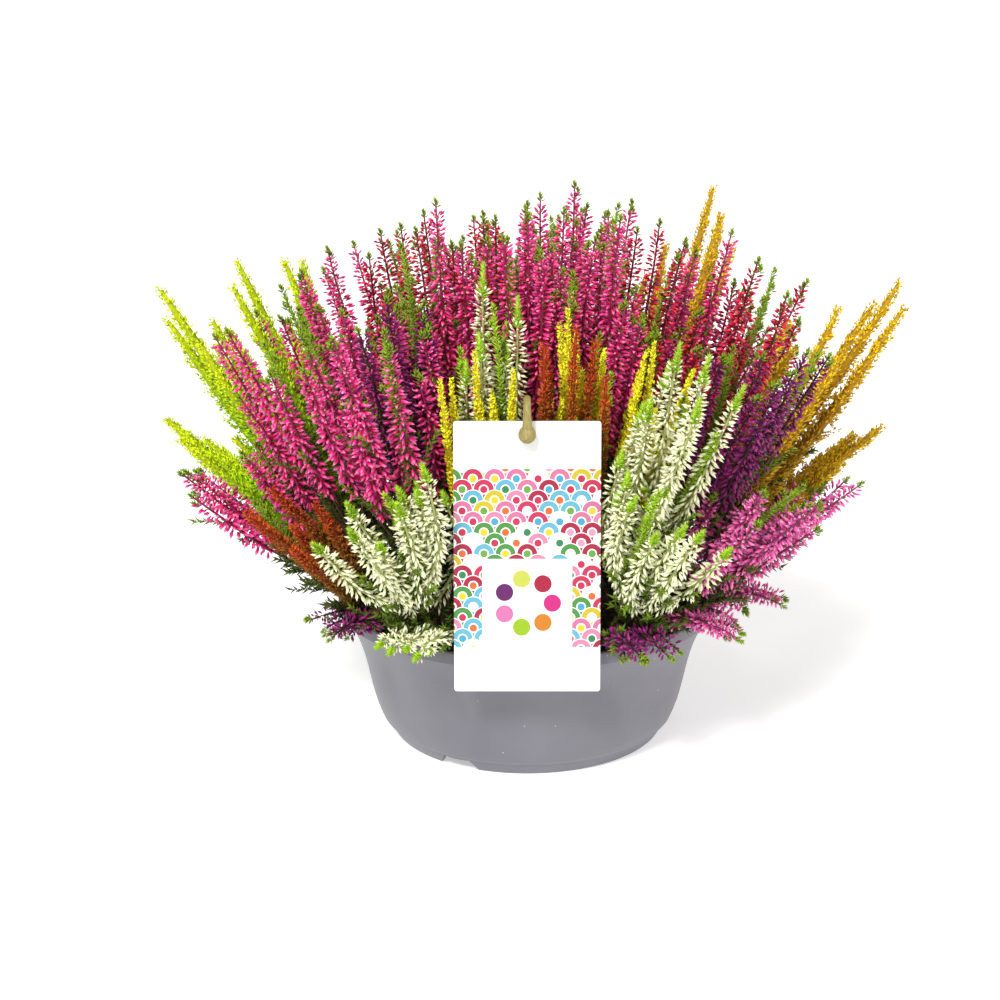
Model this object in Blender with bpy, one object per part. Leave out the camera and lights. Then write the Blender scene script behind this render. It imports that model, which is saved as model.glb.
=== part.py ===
"""Potted heather: a mixed planting of budding heather in a round 23 cm planting bowl, with its picture card.

Metres, +Z up. The origin is on the bowl's axis, in the plane that its foot ring stands on. The card hangs
on the -Y side, which is the front, and +X is to the right of it.

The planting is one fan. Every shoot starts at a point of the soil, leaves it upright, and follows an arc
that leans further outwards the nearer it stands to the rim, so no two shoots cross. Those of the skirt bend
down over the rim. A spray is one plant sprig: a woody root in its own hole in the soil, a leafy lower part,
and two or three spikes that stand in whorls of buds. Each spray is one closed solid.
"""

import math
import random

import bmesh
import bpy
from mathutils import Matrix, Vector

# Bowl
RIM_RADIUS = 0.115
BOWL_HEIGHT = 0.0856
RIM_BAND = 0.0078
RIM_WIDTH = 0.0030
RIM_ROUND = 0.0008
WALL = 0.0015
FOOT_RADIUS = 0.083
FOOT_HEIGHT = 0.0072
FOOT_WIDTH = 0.0028
FOOT_FLARE = 0.0038
FOOT_STEP = 0.0005
BASE_RISE = 0.004
BASE_THICKNESS = 0.002
BOWL_SEGMENTS = 32
NOTCH_WIDTHS = (0.028, 0.017)
NOTCH_HEIGHT = 0.0068
NOTCH_INWARD = 0.010
NOTCH_OUTWARD = 0.003
CUT_BEYOND = 0.002
NOTCH_ANGLES = (-119, 1, 121)
DRAIN_HOLES = 6
DRAIN_RADIUS = 0.005
DRAIN_CIRCLE = 0.058

# The outside of the wall from the foot to the rim band, as radius and height
WALL_OUTLINE = (
    (0.0898, 0.0098),
    (0.0922, 0.0160),
    (0.0988, 0.0420),
    (0.1022, 0.0560),
    (0.1062, 0.0660),
    (0.1112, 0.0745),
    (0.1126, 0.0776),
)
INSIDE_CORNER = 0.0015

# Soil
SOIL_TOP = 0.076
SOIL_DIP = 0.002
SOIL_RINGS = 4
CLEAR = 0.0004
ROOT_DEPTH = 0.015
ROOT_COLLAR = 0.001
HOLE_RADIUS = 0.0040

# Fan of shoots
ROOT_CIRCLE = 0.094
SIDE_LEAN = math.radians(53)
FRONT_LEAN = math.radians(50)
BACK_LEAN = math.radians(32)
LEAN_POWER = 1.3
SHOOT_REACH = 0.258
REACH_LOST_OUTWARD = 0.030
REACH_LOST_AT_RIM = 0.075
REACH_CHANCE = (0.94, 1.04)

# Beside the card, shoots stand more upright: how much of their forward and sideways lean they lose, and the
# share of the root circle over which each of them comes back
CARD_DEPTH = 0.4
FORWARD_LOST, FORWARD_BACK = 0.98, 0.42
SIDEWAYS_LOST, SIDEWAYS_BACK = 0.6, 0.74

# Sprays
STEM_RADIUS = 0.0026
FORK_START, FORK_LENGTH = 0.22, 0.40
FORK_FIRST, FORK_SECOND = 0.20, 0.38
FORK_REACH = (0.80, 0.97)
LEAF_STEP = 0.034
LEAF_GIRTH, LEAF_GAIN = 0.0058, 0.0060
LEAVES_FROM = 0.10
WHORL_STEP = 0.0195
WHORL_WAIST = 0.42
WHORL_WIDEST = 0.66
BUDS_A_WHORL = 3
SPIKE_END = 0.93
SEED = 7

# Card and the hooked stake that it hangs on
CARD_WIDTH = 0.0815
CARD_HEIGHT = 0.152
CARD_THICKNESS = 0.0008
CARD_FOOT = Vector((0.0, -0.124, 0.0694))
CARD_TILT = math.radians(9.1)
CARD_CORNER = 0.0015
CARD_HOLE_DROP = 0.006
CARD_HOLE_RADIUS = 0.0022
STAKE_RADIUS = 0.0021
STAKE_ROOT_Y = -0.0940
STAKE_RISE = 0.0125
BEND_STEPS = 6
KNOB_RADIUS = 0.0050
PIN_RADIUS = 0.0017

# The seven colours and their tints: colour, length and spike radius of each, and how its spikes are built
HEATHERS = {
    "M": dict(name="pink", colour=(0.62, 0.05, 0.25), reach=1.00, spike=0.0078, buds=0.47),
    "R": dict(name="crimson", colour=(0.42, 0.01, 0.07), reach=0.98, spike=0.0076, buds=0.47),
    "W": dict(name="cream", colour=(0.80, 0.84, 0.50), reach=0.93, spike=0.0092, buds=0.62),
    "V": dict(name="purple", colour=(0.16, 0.02, 0.14), reach=0.90, spike=0.0074, buds=0.52),
    "P": dict(name="mauve", colour=(0.62, 0.18, 0.40), reach=0.95, spike=0.0074, buds=0.60),
    "L": dict(name="lime", colour=(0.42, 0.58, 0.03), reach=1.09, spike=0.0074, buds=0.70),
    "Y": dict(name="yellow", colour=(0.80, 0.70, 0.04), reach=0.84, spike=0.0062, buds=0.52),
    "G": dict(name="golden", colour=(0.58, 0.38, 0.03), reach=1.14, spike=0.0074, buds=0.64),
    "O": dict(name="rust", colour=(0.34, 0.12, 0.02), reach=0.86, spike=0.0076, buds=0.64),
}

# Rings of sprays, from the middle out: share of the root circle, half-slot turn, reach, girth, spikes a spray
# and how far they part, and one letter a slot, from the front round by the right. A dot is an empty slot.
# The skirt's shoots bend over the rim, from the first lean of SKIRT_BEND to the second.
PLANTING = tuple(
    dict(zip(("ring", "share", "turn", "reach", "girth", "spikes", "spread", "slots"), row))
    for row in (
        ("middle", 0.13, 0.0, 1.00, 1.0, 2, 0.100, "MMR"),
        ("inner", 0.37, 0.0, 1.00, 1.0, 2, 0.120, "MMRMRRM"),
        ("second", 0.60, 0.5, 0.96, 1.0, 2, 0.130, "YYRMMMRMMVW"),
        ("third", 0.82, 0.5, 1.00, 1.0, 3, 0.115, "OWVGRGMRMLLMMY"),
        ("outer", 1.00, 0.5, 1.00, 1.0, 3, 0.115, ".WPPGVRMRMLLMOW."),
        ("skirt", 1.00, 0.0, 0.55, 0.75, 2, 0.120, ".VPP...L..R...VW"),
    )
)
SKIRT_BEND = (math.radians(35), math.radians(112))


def clear_scene():
    for obj in list(bpy.data.objects):
        bpy.data.objects.remove(obj, do_unlink=True)


def material(name, colour, roughness, metallic=0.0):
    made = bpy.data.materials.new(name)
    made.use_nodes = True
    shader = made.node_tree.nodes["Principled BSDF"]
    shader.inputs["Base Color"].default_value = (*colour, 1.0)
    shader.inputs["Roughness"].default_value = roughness
    shader.inputs["Metallic"].default_value = metallic
    return made


def object_from(name, bm, finish=None, collection=None):
    bmesh.ops.recalc_face_normals(bm, faces=bm.faces)
    if bm.calc_volume(signed=True) < 0:
        bmesh.ops.reverse_faces(bm, faces=bm.faces)
    mesh = bpy.data.meshes.new(name)
    bm.to_mesh(mesh)
    bm.free()
    if finish:
        mesh.materials.append(finish)
    obj = bpy.data.objects.new(name, mesh)
    (collection or bpy.context.scene.collection).objects.link(obj)
    return obj


def smooth(obj, degrees=35):
    obj.data.shade_smooth()
    obj.data.set_sharp_from_angle(angle=math.radians(degrees))


def cutter(name, bm):
    obj = object_from(name, bm)
    obj.hide_render = True
    obj.display_type = "WIRE"
    return obj


def cut(obj, tool, solver="EXACT"):
    modifier = obj.modifiers.new("Cut " + tool.name, "BOOLEAN")
    modifier.operation = "DIFFERENCE"
    modifier.solver = solver
    modifier.object = tool


def turned(name, outline, finish):
    """A shape of revolution from an outline that starts and ends on the Z axis."""
    bm = bmesh.new()
    points = [bm.verts.new((radius, 0.0, height)) for radius, height in outline]
    edges = [bm.edges.new(pair) for pair in zip(points, points[1:])]
    bmesh.ops.spin(
        bm,
        geom=points + edges,
        cent=(0, 0, 0),
        axis=(0, 0, 1),
        angle=math.tau,
        steps=BOWL_SEGMENTS,
        use_merge=True,
    )
    bmesh.ops.remove_doubles(bm, verts=bm.verts, dist=1e-6)
    return object_from(name, bm, finish)


def inside_outline():
    """The bowl's inside, from the edge of its floor to the rim, as radius and height."""
    floor_edge = (FOOT_RADIUS + INSIDE_CORNER, BASE_RISE + BASE_THICKNESS)
    return [floor_edge] + [(radius - WALL, height) for radius, height in WALL_OUTLINE[1:]]


def inner_wall(height):
    """Radius of the bowl's inside at a height."""
    outline = inside_outline()
    for (low, at), (high, above) in zip(outline, outline[1:]):
        if height <= above:
            return low + (high - low) * (height - at) / (above - at)
    return outline[-1][0]


def make_bowl():
    foot = [
        (0.0, BASE_RISE),
        (FOOT_RADIUS - FOOT_WIDTH, BASE_RISE),
        (FOOT_RADIUS - FOOT_WIDTH, 0.0),
        (FOOT_RADIUS, 0.0),
        (FOOT_RADIUS + FOOT_FLARE, FOOT_HEIGHT),
        (FOOT_RADIUS + FOOT_FLARE + FOOT_STEP, FOOT_HEIGHT + FOOT_STEP),
    ]
    rim = [
        (RIM_RADIUS, BOWL_HEIGHT - RIM_BAND),
        (RIM_RADIUS, BOWL_HEIGHT - RIM_ROUND),
        (RIM_RADIUS - RIM_ROUND, BOWL_HEIGHT),
        (RIM_RADIUS - RIM_WIDTH, BOWL_HEIGHT),
    ]
    inside = list(reversed(inside_outline())) + [(0.0, BASE_RISE + BASE_THICKNESS)]
    plastic = material("grey_moulded_plastic", (0.27, 0.27, 0.31), 0.42)
    bowl = turned("bowl", foot + list(WALL_OUTLINE) + rim + inside, plastic)
    smooth(bowl, 40)
    cut(bowl, notch_cutter())
    cut(bowl, drain_cutter())
    return bowl


def notch_cutter():
    """Trapezoid blocks that cut the drainage notches through the foot ring."""
    bm = bmesh.new()
    wide, narrow = NOTCH_WIDTHS
    for degrees in NOTCH_ANGLES:
        made = bmesh.ops.create_cube(bm, size=1.0)["verts"]
        for vert in made:
            width = narrow if vert.co.z > 0 else wide
            along = FOOT_RADIUS - NOTCH_INWARD if vert.co.x < 0 else FOOT_RADIUS + NOTCH_OUTWARD
            height = NOTCH_HEIGHT if vert.co.z > 0 else -CUT_BEYOND
            vert.co = (along, math.copysign(width / 2, vert.co.y), height)
        bmesh.ops.rotate(bm, verts=made, matrix=Matrix.Rotation(math.radians(degrees), 3, "Z"))
    return cutter("notch_cutter", bm)


def drain_cutter():
    bm = bmesh.new()
    for index in range(DRAIN_HOLES):
        turn = math.tau * (index + 0.5) / DRAIN_HOLES
        bmesh.ops.create_cone(
            bm,
            cap_ends=True,
            segments=8,
            radius1=DRAIN_RADIUS,
            radius2=DRAIN_RADIUS,
            depth=BASE_THICKNESS + 2 * CUT_BEYOND,
            matrix=Matrix.Translation(
                (
                    DRAIN_CIRCLE * math.cos(turn),
                    DRAIN_CIRCLE * math.sin(turn),
                    BASE_RISE + BASE_THICKNESS / 2,
                )
            ),
        )
    return cutter("drain_cutter", bm)


def make_soil(holes):
    """Soil that fills the bowl, with a plain hole for every root and for the stake."""
    bottom = BASE_RISE + BASE_THICKNESS + CLEAR
    heights = [bottom] + [height for _, height in WALL_OUTLINE[1:-1]]
    side = [(inner_wall(height) - CLEAR, height) for height in heights]
    outline = [(0.0, bottom)] + side
    outline.append((inner_wall(SOIL_TOP) - CLEAR, SOIL_TOP - SOIL_DIP))
    edge = outline[-1][0]
    outline += [(edge * (1 - ring / SOIL_RINGS), SOIL_TOP - SOIL_DIP) for ring in range(1, SOIL_RINGS)]
    outline.append((0.0, SOIL_TOP))
    soil = turned("soil", outline, material("dark_soil", (0.035, 0.022, 0.014), 0.95))
    draw = random.Random(SEED)
    for vert in soil.data.vertices:
        if vert.co.z > SOIL_TOP - 2 * SOIL_DIP and vert.co.xy.length < edge * 0.95:
            vert.co.z = SOIL_TOP - SOIL_DIP * draw.random()
    bm = bmesh.new()
    for place, depth, radius in holes:
        bmesh.ops.create_cone(
            bm,
            cap_ends=True,
            segments=5,
            radius1=radius,
            radius2=radius,
            depth=2 * depth,
            matrix=Matrix.Translation((place.x, place.y, SOIL_TOP)),
        )
    cut(soil, cutter("hole_cutter", bm), solver="MANIFOLD")
    return soil


def card_frame():
    """Turns the card's own X, Y (through it) and Z (up it) to its place, leaning back from its foot."""
    return Matrix.Translation(CARD_FOOT) @ Matrix.Rotation(-CARD_TILT, 4, "X")


def make_card():
    bm = bmesh.new()
    bmesh.ops.create_cube(bm, size=1.0)
    for vert in bm.verts:
        vert.co = (
            vert.co.x * CARD_WIDTH,
            vert.co.y * CARD_THICKNESS,
            (vert.co.z + 0.5) * CARD_HEIGHT,
        )
    corners = [
        edge for edge in bm.edges if abs(edge.verts[0].co.y - edge.verts[1].co.y) > CARD_THICKNESS / 2
    ]
    bmesh.ops.bevel(
        bm, geom=corners, affect="EDGES", offset=CARD_CORNER, segments=3, profile=0.5, material=-1
    )
    card = object_from("card", bm, material("printed_card", (0.80, 0.72, 0.70), 0.5))
    hole = bmesh.new()
    bmesh.ops.create_cone(
        hole,
        cap_ends=True,
        segments=16,
        radius1=CARD_HOLE_RADIUS,
        radius2=CARD_HOLE_RADIUS,
        depth=CARD_THICKNESS + 2 * CUT_BEYOND,
        matrix=Matrix.Translation((0, 0, CARD_HEIGHT - CARD_HOLE_DROP))
        @ Matrix.Rotation(math.pi / 2, 4, "X"),
    )
    punch = cutter("card_punch", hole)
    punch.parent = card
    card.matrix_world = card_frame()
    cut(card, punch)
    return card


def tube(name, points, radii, sides, collection=None, finish=None):
    """A closed tube through points, whose rings are each turned half a step from the last."""
    bm = bmesh.new()
    rings = []
    across = Vector((1, 0, 0))
    for index, point in enumerate(points[:-1]):
        along = (points[index + 1] - points[max(index - 1, 0)]).normalized()
        across = (across - along * across.dot(along)).normalized()
        beside = along.cross(across)
        ring = []
        for side in range(sides):
            angle = math.tau * (side + index / 2) / sides
            spoke = across * math.cos(angle) + beside * math.sin(angle)
            ring.append(bm.verts.new(point + spoke * radii[index]))
        rings.append(ring)
    bm.faces.new(list(reversed(rings[0])))
    for low, high in zip(rings, rings[1:]):
        for side in range(sides):
            following = (side + 1) % sides
            bm.faces.new((low[side], low[following], high[side]))
            bm.faces.new((low[following], high[following], high[side]))
    tip = bm.verts.new(points[-1])
    for side in range(sides):
        bm.faces.new((rings[-1][side], rings[-1][(side + 1) % sides], tip))
    return object_from(name, bm, finish, collection)


def fuse(obj, collection):
    """Joins every object of the collection to obj by one Boolean union, then removes them."""
    modifier = obj.modifiers.new("Fuse", "BOOLEAN")
    modifier.operation = "UNION"
    modifier.solver = "MANIFOLD"
    modifier.operand_type = "COLLECTION"
    modifier.collection = collection
    graph = bpy.context.evaluated_depsgraph_get()
    fused = bpy.data.meshes.new_from_object(obj.evaluated_get(graph))
    obj.modifiers.clear()
    obj.data = fused
    for used in list(collection.objects):
        bpy.data.objects.remove(used, do_unlink=True)
    bpy.data.collections.remove(collection)


def make_stake():
    """A thin stake that rises behind the card, hooks over its top edge and ends in a knob before it."""
    hole = card_frame() @ Vector((0, 0, CARD_HEIGHT - CARD_HOLE_DROP))
    knob = hole + Vector((0, -KNOB_RADIUS - CARD_THICKNESS, 0))
    bend = (STAKE_ROOT_Y - knob.y) / 2
    centre = Vector((0, knob.y + bend, hole.z + CARD_HOLE_DROP + STAKE_RISE - bend))
    points = [
        Vector((0, STAKE_ROOT_Y, SOIL_TOP - ROOT_DEPTH)),
        Vector((0, STAKE_ROOT_Y, centre.z - STAKE_RISE)),
    ]
    for step in range(BEND_STEPS + 1):
        turn = math.pi * step / BEND_STEPS
        points.append(centre + Vector((0, math.cos(turn), math.sin(turn))) * bend)
    points += [knob + Vector((0, 0, KNOB_RADIUS)), knob]
    radii = [STAKE_RADIUS] * (len(points) - 1)
    stake = tube("stake", points, radii, 6, finish=material("tan_wood", (0.33, 0.25, 0.11), 0.5))
    parts = bpy.data.collections.new("Stake parts")
    bpy.context.scene.collection.children.link(parts)
    ball = bmesh.new()
    bmesh.ops.create_uvsphere(ball, u_segments=10, v_segments=7, radius=KNOB_RADIUS)
    bmesh.ops.translate(ball, verts=ball.verts, vec=knob)
    object_from("knob", ball, collection=parts)
    pin = bmesh.new()
    bmesh.ops.create_cone(
        pin,
        cap_ends=True,
        segments=8,
        radius1=PIN_RADIUS,
        radius2=PIN_RADIUS,
        depth=2 * KNOB_RADIUS,
        matrix=Matrix.Translation(hole) @ Matrix.Rotation(math.pi / 2 - CARD_TILT, 4, "X"),
    )
    object_from("pin", pin, collection=parts)
    fuse(stake, parts)
    smooth(stake)
    return stake


def lean_at(place):
    """How far shoots lean at a place in the root circle (1 is its edge): a horizontal vector, in radians.

    Beside the stake, at the front, they stand nearly upright behind the card.
    """
    share = place.length
    if share < 1e-6:
        return Vector((0, 0))
    way = place / share
    fore = FRONT_LEAN if way.y < 0 else BACK_LEAN
    lean = way * (SIDE_LEAN * way.x**2 + fore * way.y**2) * share**LEAN_POWER
    if place.y < 0:
        near = min(1.0, -place.y / CARD_DEPTH)
        lean.y *= 1 - FORWARD_LOST * near * math.exp(-((place.x / FORWARD_BACK) ** 4))
        lean.x *= 1 - SIDEWAYS_LOST * near * math.exp(-((place.x / SIDEWAYS_BACK) ** 2))
    return lean


def shoot_point(place, reach, share, droop=None):
    """A point on the arc that grows from a place, at a share of its reach."""
    lean = lean_at(place)
    start = max(lean.length, 1e-4)
    turn = start * (0.5 * min(place.length, 1.0) ** 4 - 0.5 - 1e-6)
    way = lean / start
    if droop:
        start, turn, way = droop[0], droop[1] - droop[0], place.normalized()
    out = reach * (math.cos(start) - math.cos(start + turn * share)) / turn
    rise = reach * (math.sin(start + turn * share) - math.sin(start)) / turn
    foot = place * ROOT_CIRCLE + way * out
    return Vector((foot.x, foot.y, SOIL_TOP + ROOT_COLLAR + rise))


def full_reach(place):
    share = min(place.length, 1.0)
    return SHOOT_REACH - REACH_LOST_OUTWARD * share**2 - REACH_LOST_AT_RIM * share**10


def spike(points, radii, path, first, reach, radius):
    """Adds whorls of buds to a shoot: a narrow ring, then a wide one just below the next narrow ring."""
    count = max(3, round((SPIKE_END - first) * reach / WHORL_STEP))
    step = (SPIKE_END - first) / count
    for index in range(count):
        swell = 0.55 + 0.45 * math.sin(math.pi * min(1.0, 0.18 + 0.80 * (index + 0.5) / count))
        points += [path(first + index * step), path(first + (index + WHORL_WIDEST) * step)]
        radii += [radius * WHORL_WAIST * swell, radius * swell]
    points += [path(SPIKE_END), path(1.0)]
    radii += [radius * WHORL_WAIST * 0.7, 0.0]


def make_spray(name, kind, place, reach, ring, finish, draw):
    """One sprig: a woody root, a leafy lower part that thickens upwards, and its spikes, as one solid."""
    droop = SKIRT_BEND if ring["ring"] == "skirt" else None
    root = shoot_point(place, reach, 0.0, droop)

    def middle(share):
        return shoot_point(place, reach, share, droop)

    buds_from = 1 - kind["buds"]
    points = [root + Vector((0, 0, -ROOT_DEPTH)), root]
    radii = [STEM_RADIUS, STEM_RADIUS]
    leafy_span = buds_from - LEAVES_FROM
    leafy = max(1, round(leafy_span * reach / LEAF_STEP))
    for index in range(leafy):
        share = LEAVES_FROM + leafy_span * index / leafy
        width = (LEAF_GIRTH + LEAF_GAIN * index / leafy) * ring["girth"]
        points += [middle(share), middle(share + 0.6 * leafy_span / leafy)]
        radii += [width * 0.55, width]
    spike(points, radii, middle, buds_from, reach, kind["spike"] * ring["girth"])
    spray = tube(name, points, radii, BUDS_A_WHORL, finish=finish)
    parts = bpy.data.collections.new(name + " spikes")
    bpy.context.scene.collection.children.link(parts)
    first_turn = draw.uniform(-0.3, 0.3)
    outward = math.atan2(place.y, place.x)
    for index in range(1, ring["spikes"]):
        side = (1 if index == 1 else -1) * (-1 if droop and place.x < 0 else 1)
        turn = outward + first_turn + side * math.pi / 2
        offset = Vector((math.cos(turn), math.sin(turn))) * ring["spread"]
        side_reach = reach * draw.uniform(*FORK_REACH)

        def beside(share):
            away = min(1.0, max(0.0, (share - FORK_START) / FORK_LENGTH))
            away = away * away * (3 - 2 * away)
            return shoot_point(place + offset * away, side_reach, share, droop)

        points = [beside(FORK_FIRST), beside(FORK_SECOND)]
        radii = [STEM_RADIUS * 0.7, STEM_RADIUS * 0.8]
        spike(points, radii, beside, buds_from + 0.03, side_reach, kind["spike"] * ring["girth"])
        tube(f"{name} spike {index}", points, radii, BUDS_A_WHORL, collection=parts)
    fuse(spray, parts)
    return root


def make_planting():
    """Every spray, ring by ring. It returns the soil holes that their roots stand in."""
    finishes = {
        letter: material("heather_" + kind["name"], kind["colour"], 0.7)
        for letter, kind in HEATHERS.items()
    }
    draw = random.Random(SEED)
    holes = []
    for ring in PLANTING:
        slots = ring["slots"]
        for slot, letter in enumerate(slots):
            if letter == ".":
                continue
            turn = -math.pi / 2 + math.tau * (slot + ring["turn"]) / len(slots)
            place = Vector((math.cos(turn), math.sin(turn))) * ring["share"]
            kind = HEATHERS[letter]
            reach = full_reach(place) * ring["reach"] * kind["reach"] * draw.uniform(*REACH_CHANCE)
            name = f"spray_{ring['ring']}_{slot + 1:02d}_{kind['name']}"
            root = make_spray(name, kind, place, reach, ring, finishes[letter], draw)
            holes.append((root, ROOT_DEPTH + CLEAR, HOLE_RADIUS))
    return holes


def main():
    clear_scene()
    make_bowl()
    holes = make_planting()
    holes.append((Vector((0, STAKE_ROOT_Y, 0)), ROOT_DEPTH + CLEAR, STAKE_RADIUS + ROOT_COLLAR))
    make_soil(holes)
    make_card()
    make_stake()


main()
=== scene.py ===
"""Looks of a potted heather: grey planting bowl, soil, mixed heather in bud, and a picture card on its stake.

Metres, +Z up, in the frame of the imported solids. The card hangs on the -Y side, which is the front.

The planting is one fan of shoots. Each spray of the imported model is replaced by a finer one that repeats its
shoots and adds more between them, with every bud, needle and scale leaf modelled.
"""

import logging
import math
import random
from dataclasses import dataclass, field, replace
from typing import Any, Iterable, Sequence

import bmesh
import bpy
import numpy as np
from mathutils import Matrix, Vector

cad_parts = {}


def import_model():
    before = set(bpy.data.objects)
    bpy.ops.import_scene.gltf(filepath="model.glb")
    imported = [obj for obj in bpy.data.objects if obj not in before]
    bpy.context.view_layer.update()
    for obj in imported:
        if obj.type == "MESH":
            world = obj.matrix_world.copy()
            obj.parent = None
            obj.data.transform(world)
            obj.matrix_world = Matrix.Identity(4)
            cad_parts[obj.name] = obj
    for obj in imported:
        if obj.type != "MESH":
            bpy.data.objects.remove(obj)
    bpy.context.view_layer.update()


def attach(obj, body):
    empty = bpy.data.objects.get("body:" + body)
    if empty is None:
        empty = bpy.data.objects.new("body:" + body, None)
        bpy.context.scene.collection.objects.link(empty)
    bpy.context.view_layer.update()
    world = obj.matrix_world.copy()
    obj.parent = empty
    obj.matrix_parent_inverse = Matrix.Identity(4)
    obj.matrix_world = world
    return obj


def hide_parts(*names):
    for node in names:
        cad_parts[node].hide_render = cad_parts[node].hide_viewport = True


LOG = logging.getLogger("heather")
BODY = "root"
MM = 0.001
GOLDEN_TURN = math.pi * (3 - math.sqrt(5))
GROWTH = "growth"
SPIKE_END = 0.985
SHARP = math.radians(35)


def colour(code: str) -> tuple[float, float, float, float]:
    """Turns an sRGB hex value into a linear colour.

    Args:
        code: The colour as "#rrggbb".

    Returns:
        Red, green, blue and alpha, linear.
    """
    parts = [int(code[at : at + 2], 16) / 255 for at in (1, 3, 5)]
    linear = [part / 12.92 if part <= 0.04045 else ((part + 0.055) / 1.055) ** 2.4 for part in parts]
    return (linear[0], linear[1], linear[2], 1.0)


def add_node(
    tree: bpy.types.NodeTree,
    kind: str,
    inputs: dict[Any, Any] | None = None,
    stops: Sequence[tuple[float, str]] = (),
    stepped: bool = False,
    **settings: Any,
) -> bpy.types.Node:
    """Adds a node, with its settings, its values and the links into it.

    Args:
        tree: The material's node tree.
        kind: The node's type, without its "ShaderNode" prefix.
        inputs: What each input socket, by name or number, is set to or linked from.
        stops: Place and hex colour of each stop, for a colour ramp.
        stepped: Whether the ramp steps from stop to stop rather than blending.
        **settings: The node's own properties.

    Returns:
        The new node.
    """
    node = tree.nodes.new("ShaderNode" + kind)
    for name, value in settings.items():
        setattr(node, name, value)
    if stops:
        elements = node.color_ramp.elements
        while len(elements) < len(stops):
            elements.new(0.5)
        for element, (place, code) in zip(elements, stops):
            element.position = place
            element.color = colour(code)
        node.color_ramp.interpolation = "CONSTANT" if stepped else "LINEAR"
    for name, value in (inputs or {}).items():
        if isinstance(value, bpy.types.NodeSocket):
            tree.links.new(value, node.inputs[name])
        else:
            node.inputs[name].default_value = value
    return node


def new_material(
    name: str, **sockets: float
) -> tuple[bpy.types.Material, bpy.types.NodeTree, bpy.types.Node]:
    """Starts a material from a Principled shader.

    Args:
        name: The finish's real name.
        **sockets: Values of the shader's sockets, with underscores for spaces.

    Returns:
        The material, its tree and its shader.
    """
    made = bpy.data.materials.new(name)
    made.use_nodes = True
    shader = made.node_tree.nodes["Principled BSDF"]
    for socket, value in sockets.items():
        shader.inputs[socket.replace("_", " ")].default_value = value
    return made, made.node_tree, shader


@dataclass(frozen=True)
class LeafFinish:
    """Waxy needles and scale leaves: satin, dark low on the shoot, on the needle greens partly painted shade
    deep in the bush, and fresh and bright at its tip.

    Each has a brightness and a trace of hue of its own, and is darker near its foot: painted shade where it
    tucks in against its stem.
    """

    name: str
    low: str
    middle: str
    tip: str
    darkest: float = 0.60
    lightest: float = 1.45
    roughness: float = 0.55
    sheen: float = 0.2
    follows: str = "Z"
    places: tuple[float, ...] = (0.20, 0.62, 0.96)
    # Painted shade at each leaf's foot: how far up the leaf it reaches, and how dark it is at the foot.
    foot_shade_length: float = 0.45
    foot_shade_tone: float = 0.6
    hues: tuple[float, float] = (0.488, 0.512)

    def build(self) -> bpy.types.Material:
        """Makes the material from the growth attribute: chance, place along the leaf and along the shoot."""
        made, tree, shader = new_material(self.name, Roughness=self.roughness, Specular_IOR_Level=self.sheen)
        growth = add_node(tree, "Attribute", attribute_name=GROWTH)
        parts = add_node(tree, "SeparateXYZ", {0: growth.outputs["Vector"]}).outputs
        tones = (self.low,) + (self.middle,) * (len(self.places) - 2) + (self.tip,)
        ramp = add_node(tree, "ValToRGB", {0: parts[self.follows]}, stops=tuple(zip(self.places, tones)))
        # The second range is painted shade: it darkens each leaf and bud towards its foot, where it tucks in
        # against its stem.
        ranges = (
            ("X", {"To Min": self.darkest, "To Max": self.lightest}),
            ("Y", {"From Max": self.foot_shade_length, "To Min": self.foot_shade_tone}),
            ("X", {"To Min": self.hues[0], "To Max": self.hues[1]}),
        )
        chance, foot, hue = [
            add_node(tree, "MapRange", {"Value": parts[axis], **limits}).outputs["Result"]
            for axis, limits in ranges
        ]
        value = add_node(tree, "Math", {0: chance, 1: foot}, operation="MULTIPLY").outputs[0]
        shades = {"Color": ramp.outputs["Color"], "Hue": hue, "Value": value}
        varied = add_node(tree, "HueSaturation", shades).outputs["Color"]
        tree.links.new(varied, shader.inputs["Base Color"])
        return made


@dataclass(frozen=True)
class BudFinish(LeafFinish):
    """Papery heather buds: satin sepals, paler at the point and darker where they leave their stalk: greenish
    stalk colour on the cream kind, and on the others partly painted shade in the spike's core. The pale point
    is partly the buds' own paler tips and partly painted highlight.
    """

    darkest: float = 0.58
    lightest: float = 1.50
    roughness: float = 0.50
    sheen: float = 0.3
    follows: str = "Y"
    places: tuple[float, ...] = (0.0, 0.28, 0.56, 0.98)


@dataclass(frozen=True)
class GrainFinish:
    """A natural material whose tone, and relief if it has any, follow a fine grain."""

    name: str
    dark: str
    pale: str
    grain_mm: float
    roughness: float
    detail: float = 3.0
    places: tuple[float, float] = (0.35, 0.70)
    along: float = 1.0
    relief: float = 0.0
    relief_mm: float = 1.0

    def build(self) -> bpy.types.Material:
        """Makes the material from noise of the grain's size, drawn out upwards where along is below 1."""
        made, tree, shader = new_material(self.name, Roughness=self.roughness)
        place = add_node(tree, "TexCoord").outputs["Object"]
        spot = add_node(tree, "Mapping", {"Vector": place, "Scale": (1.0, 1.0, self.along)}).outputs["Vector"]
        size = {"Scale": 1 / (self.grain_mm * MM), "Detail": self.detail}
        grain = add_node(tree, "TexNoise", {"Vector": spot, **size}).outputs["Fac"]
        tone = add_node(tree, "ValToRGB", {0: grain}, stops=tuple(zip(self.places, (self.dark, self.pale))))
        tree.links.new(tone.outputs["Color"], shader.inputs["Base Color"])
        if self.relief:
            depth = {"Height": grain, "Strength": self.relief, "Distance": self.relief_mm * MM}
            tree.links.new(add_node(tree, "Bump", depth).outputs["Normal"], shader.inputs["Normal"])
        return made


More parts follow.
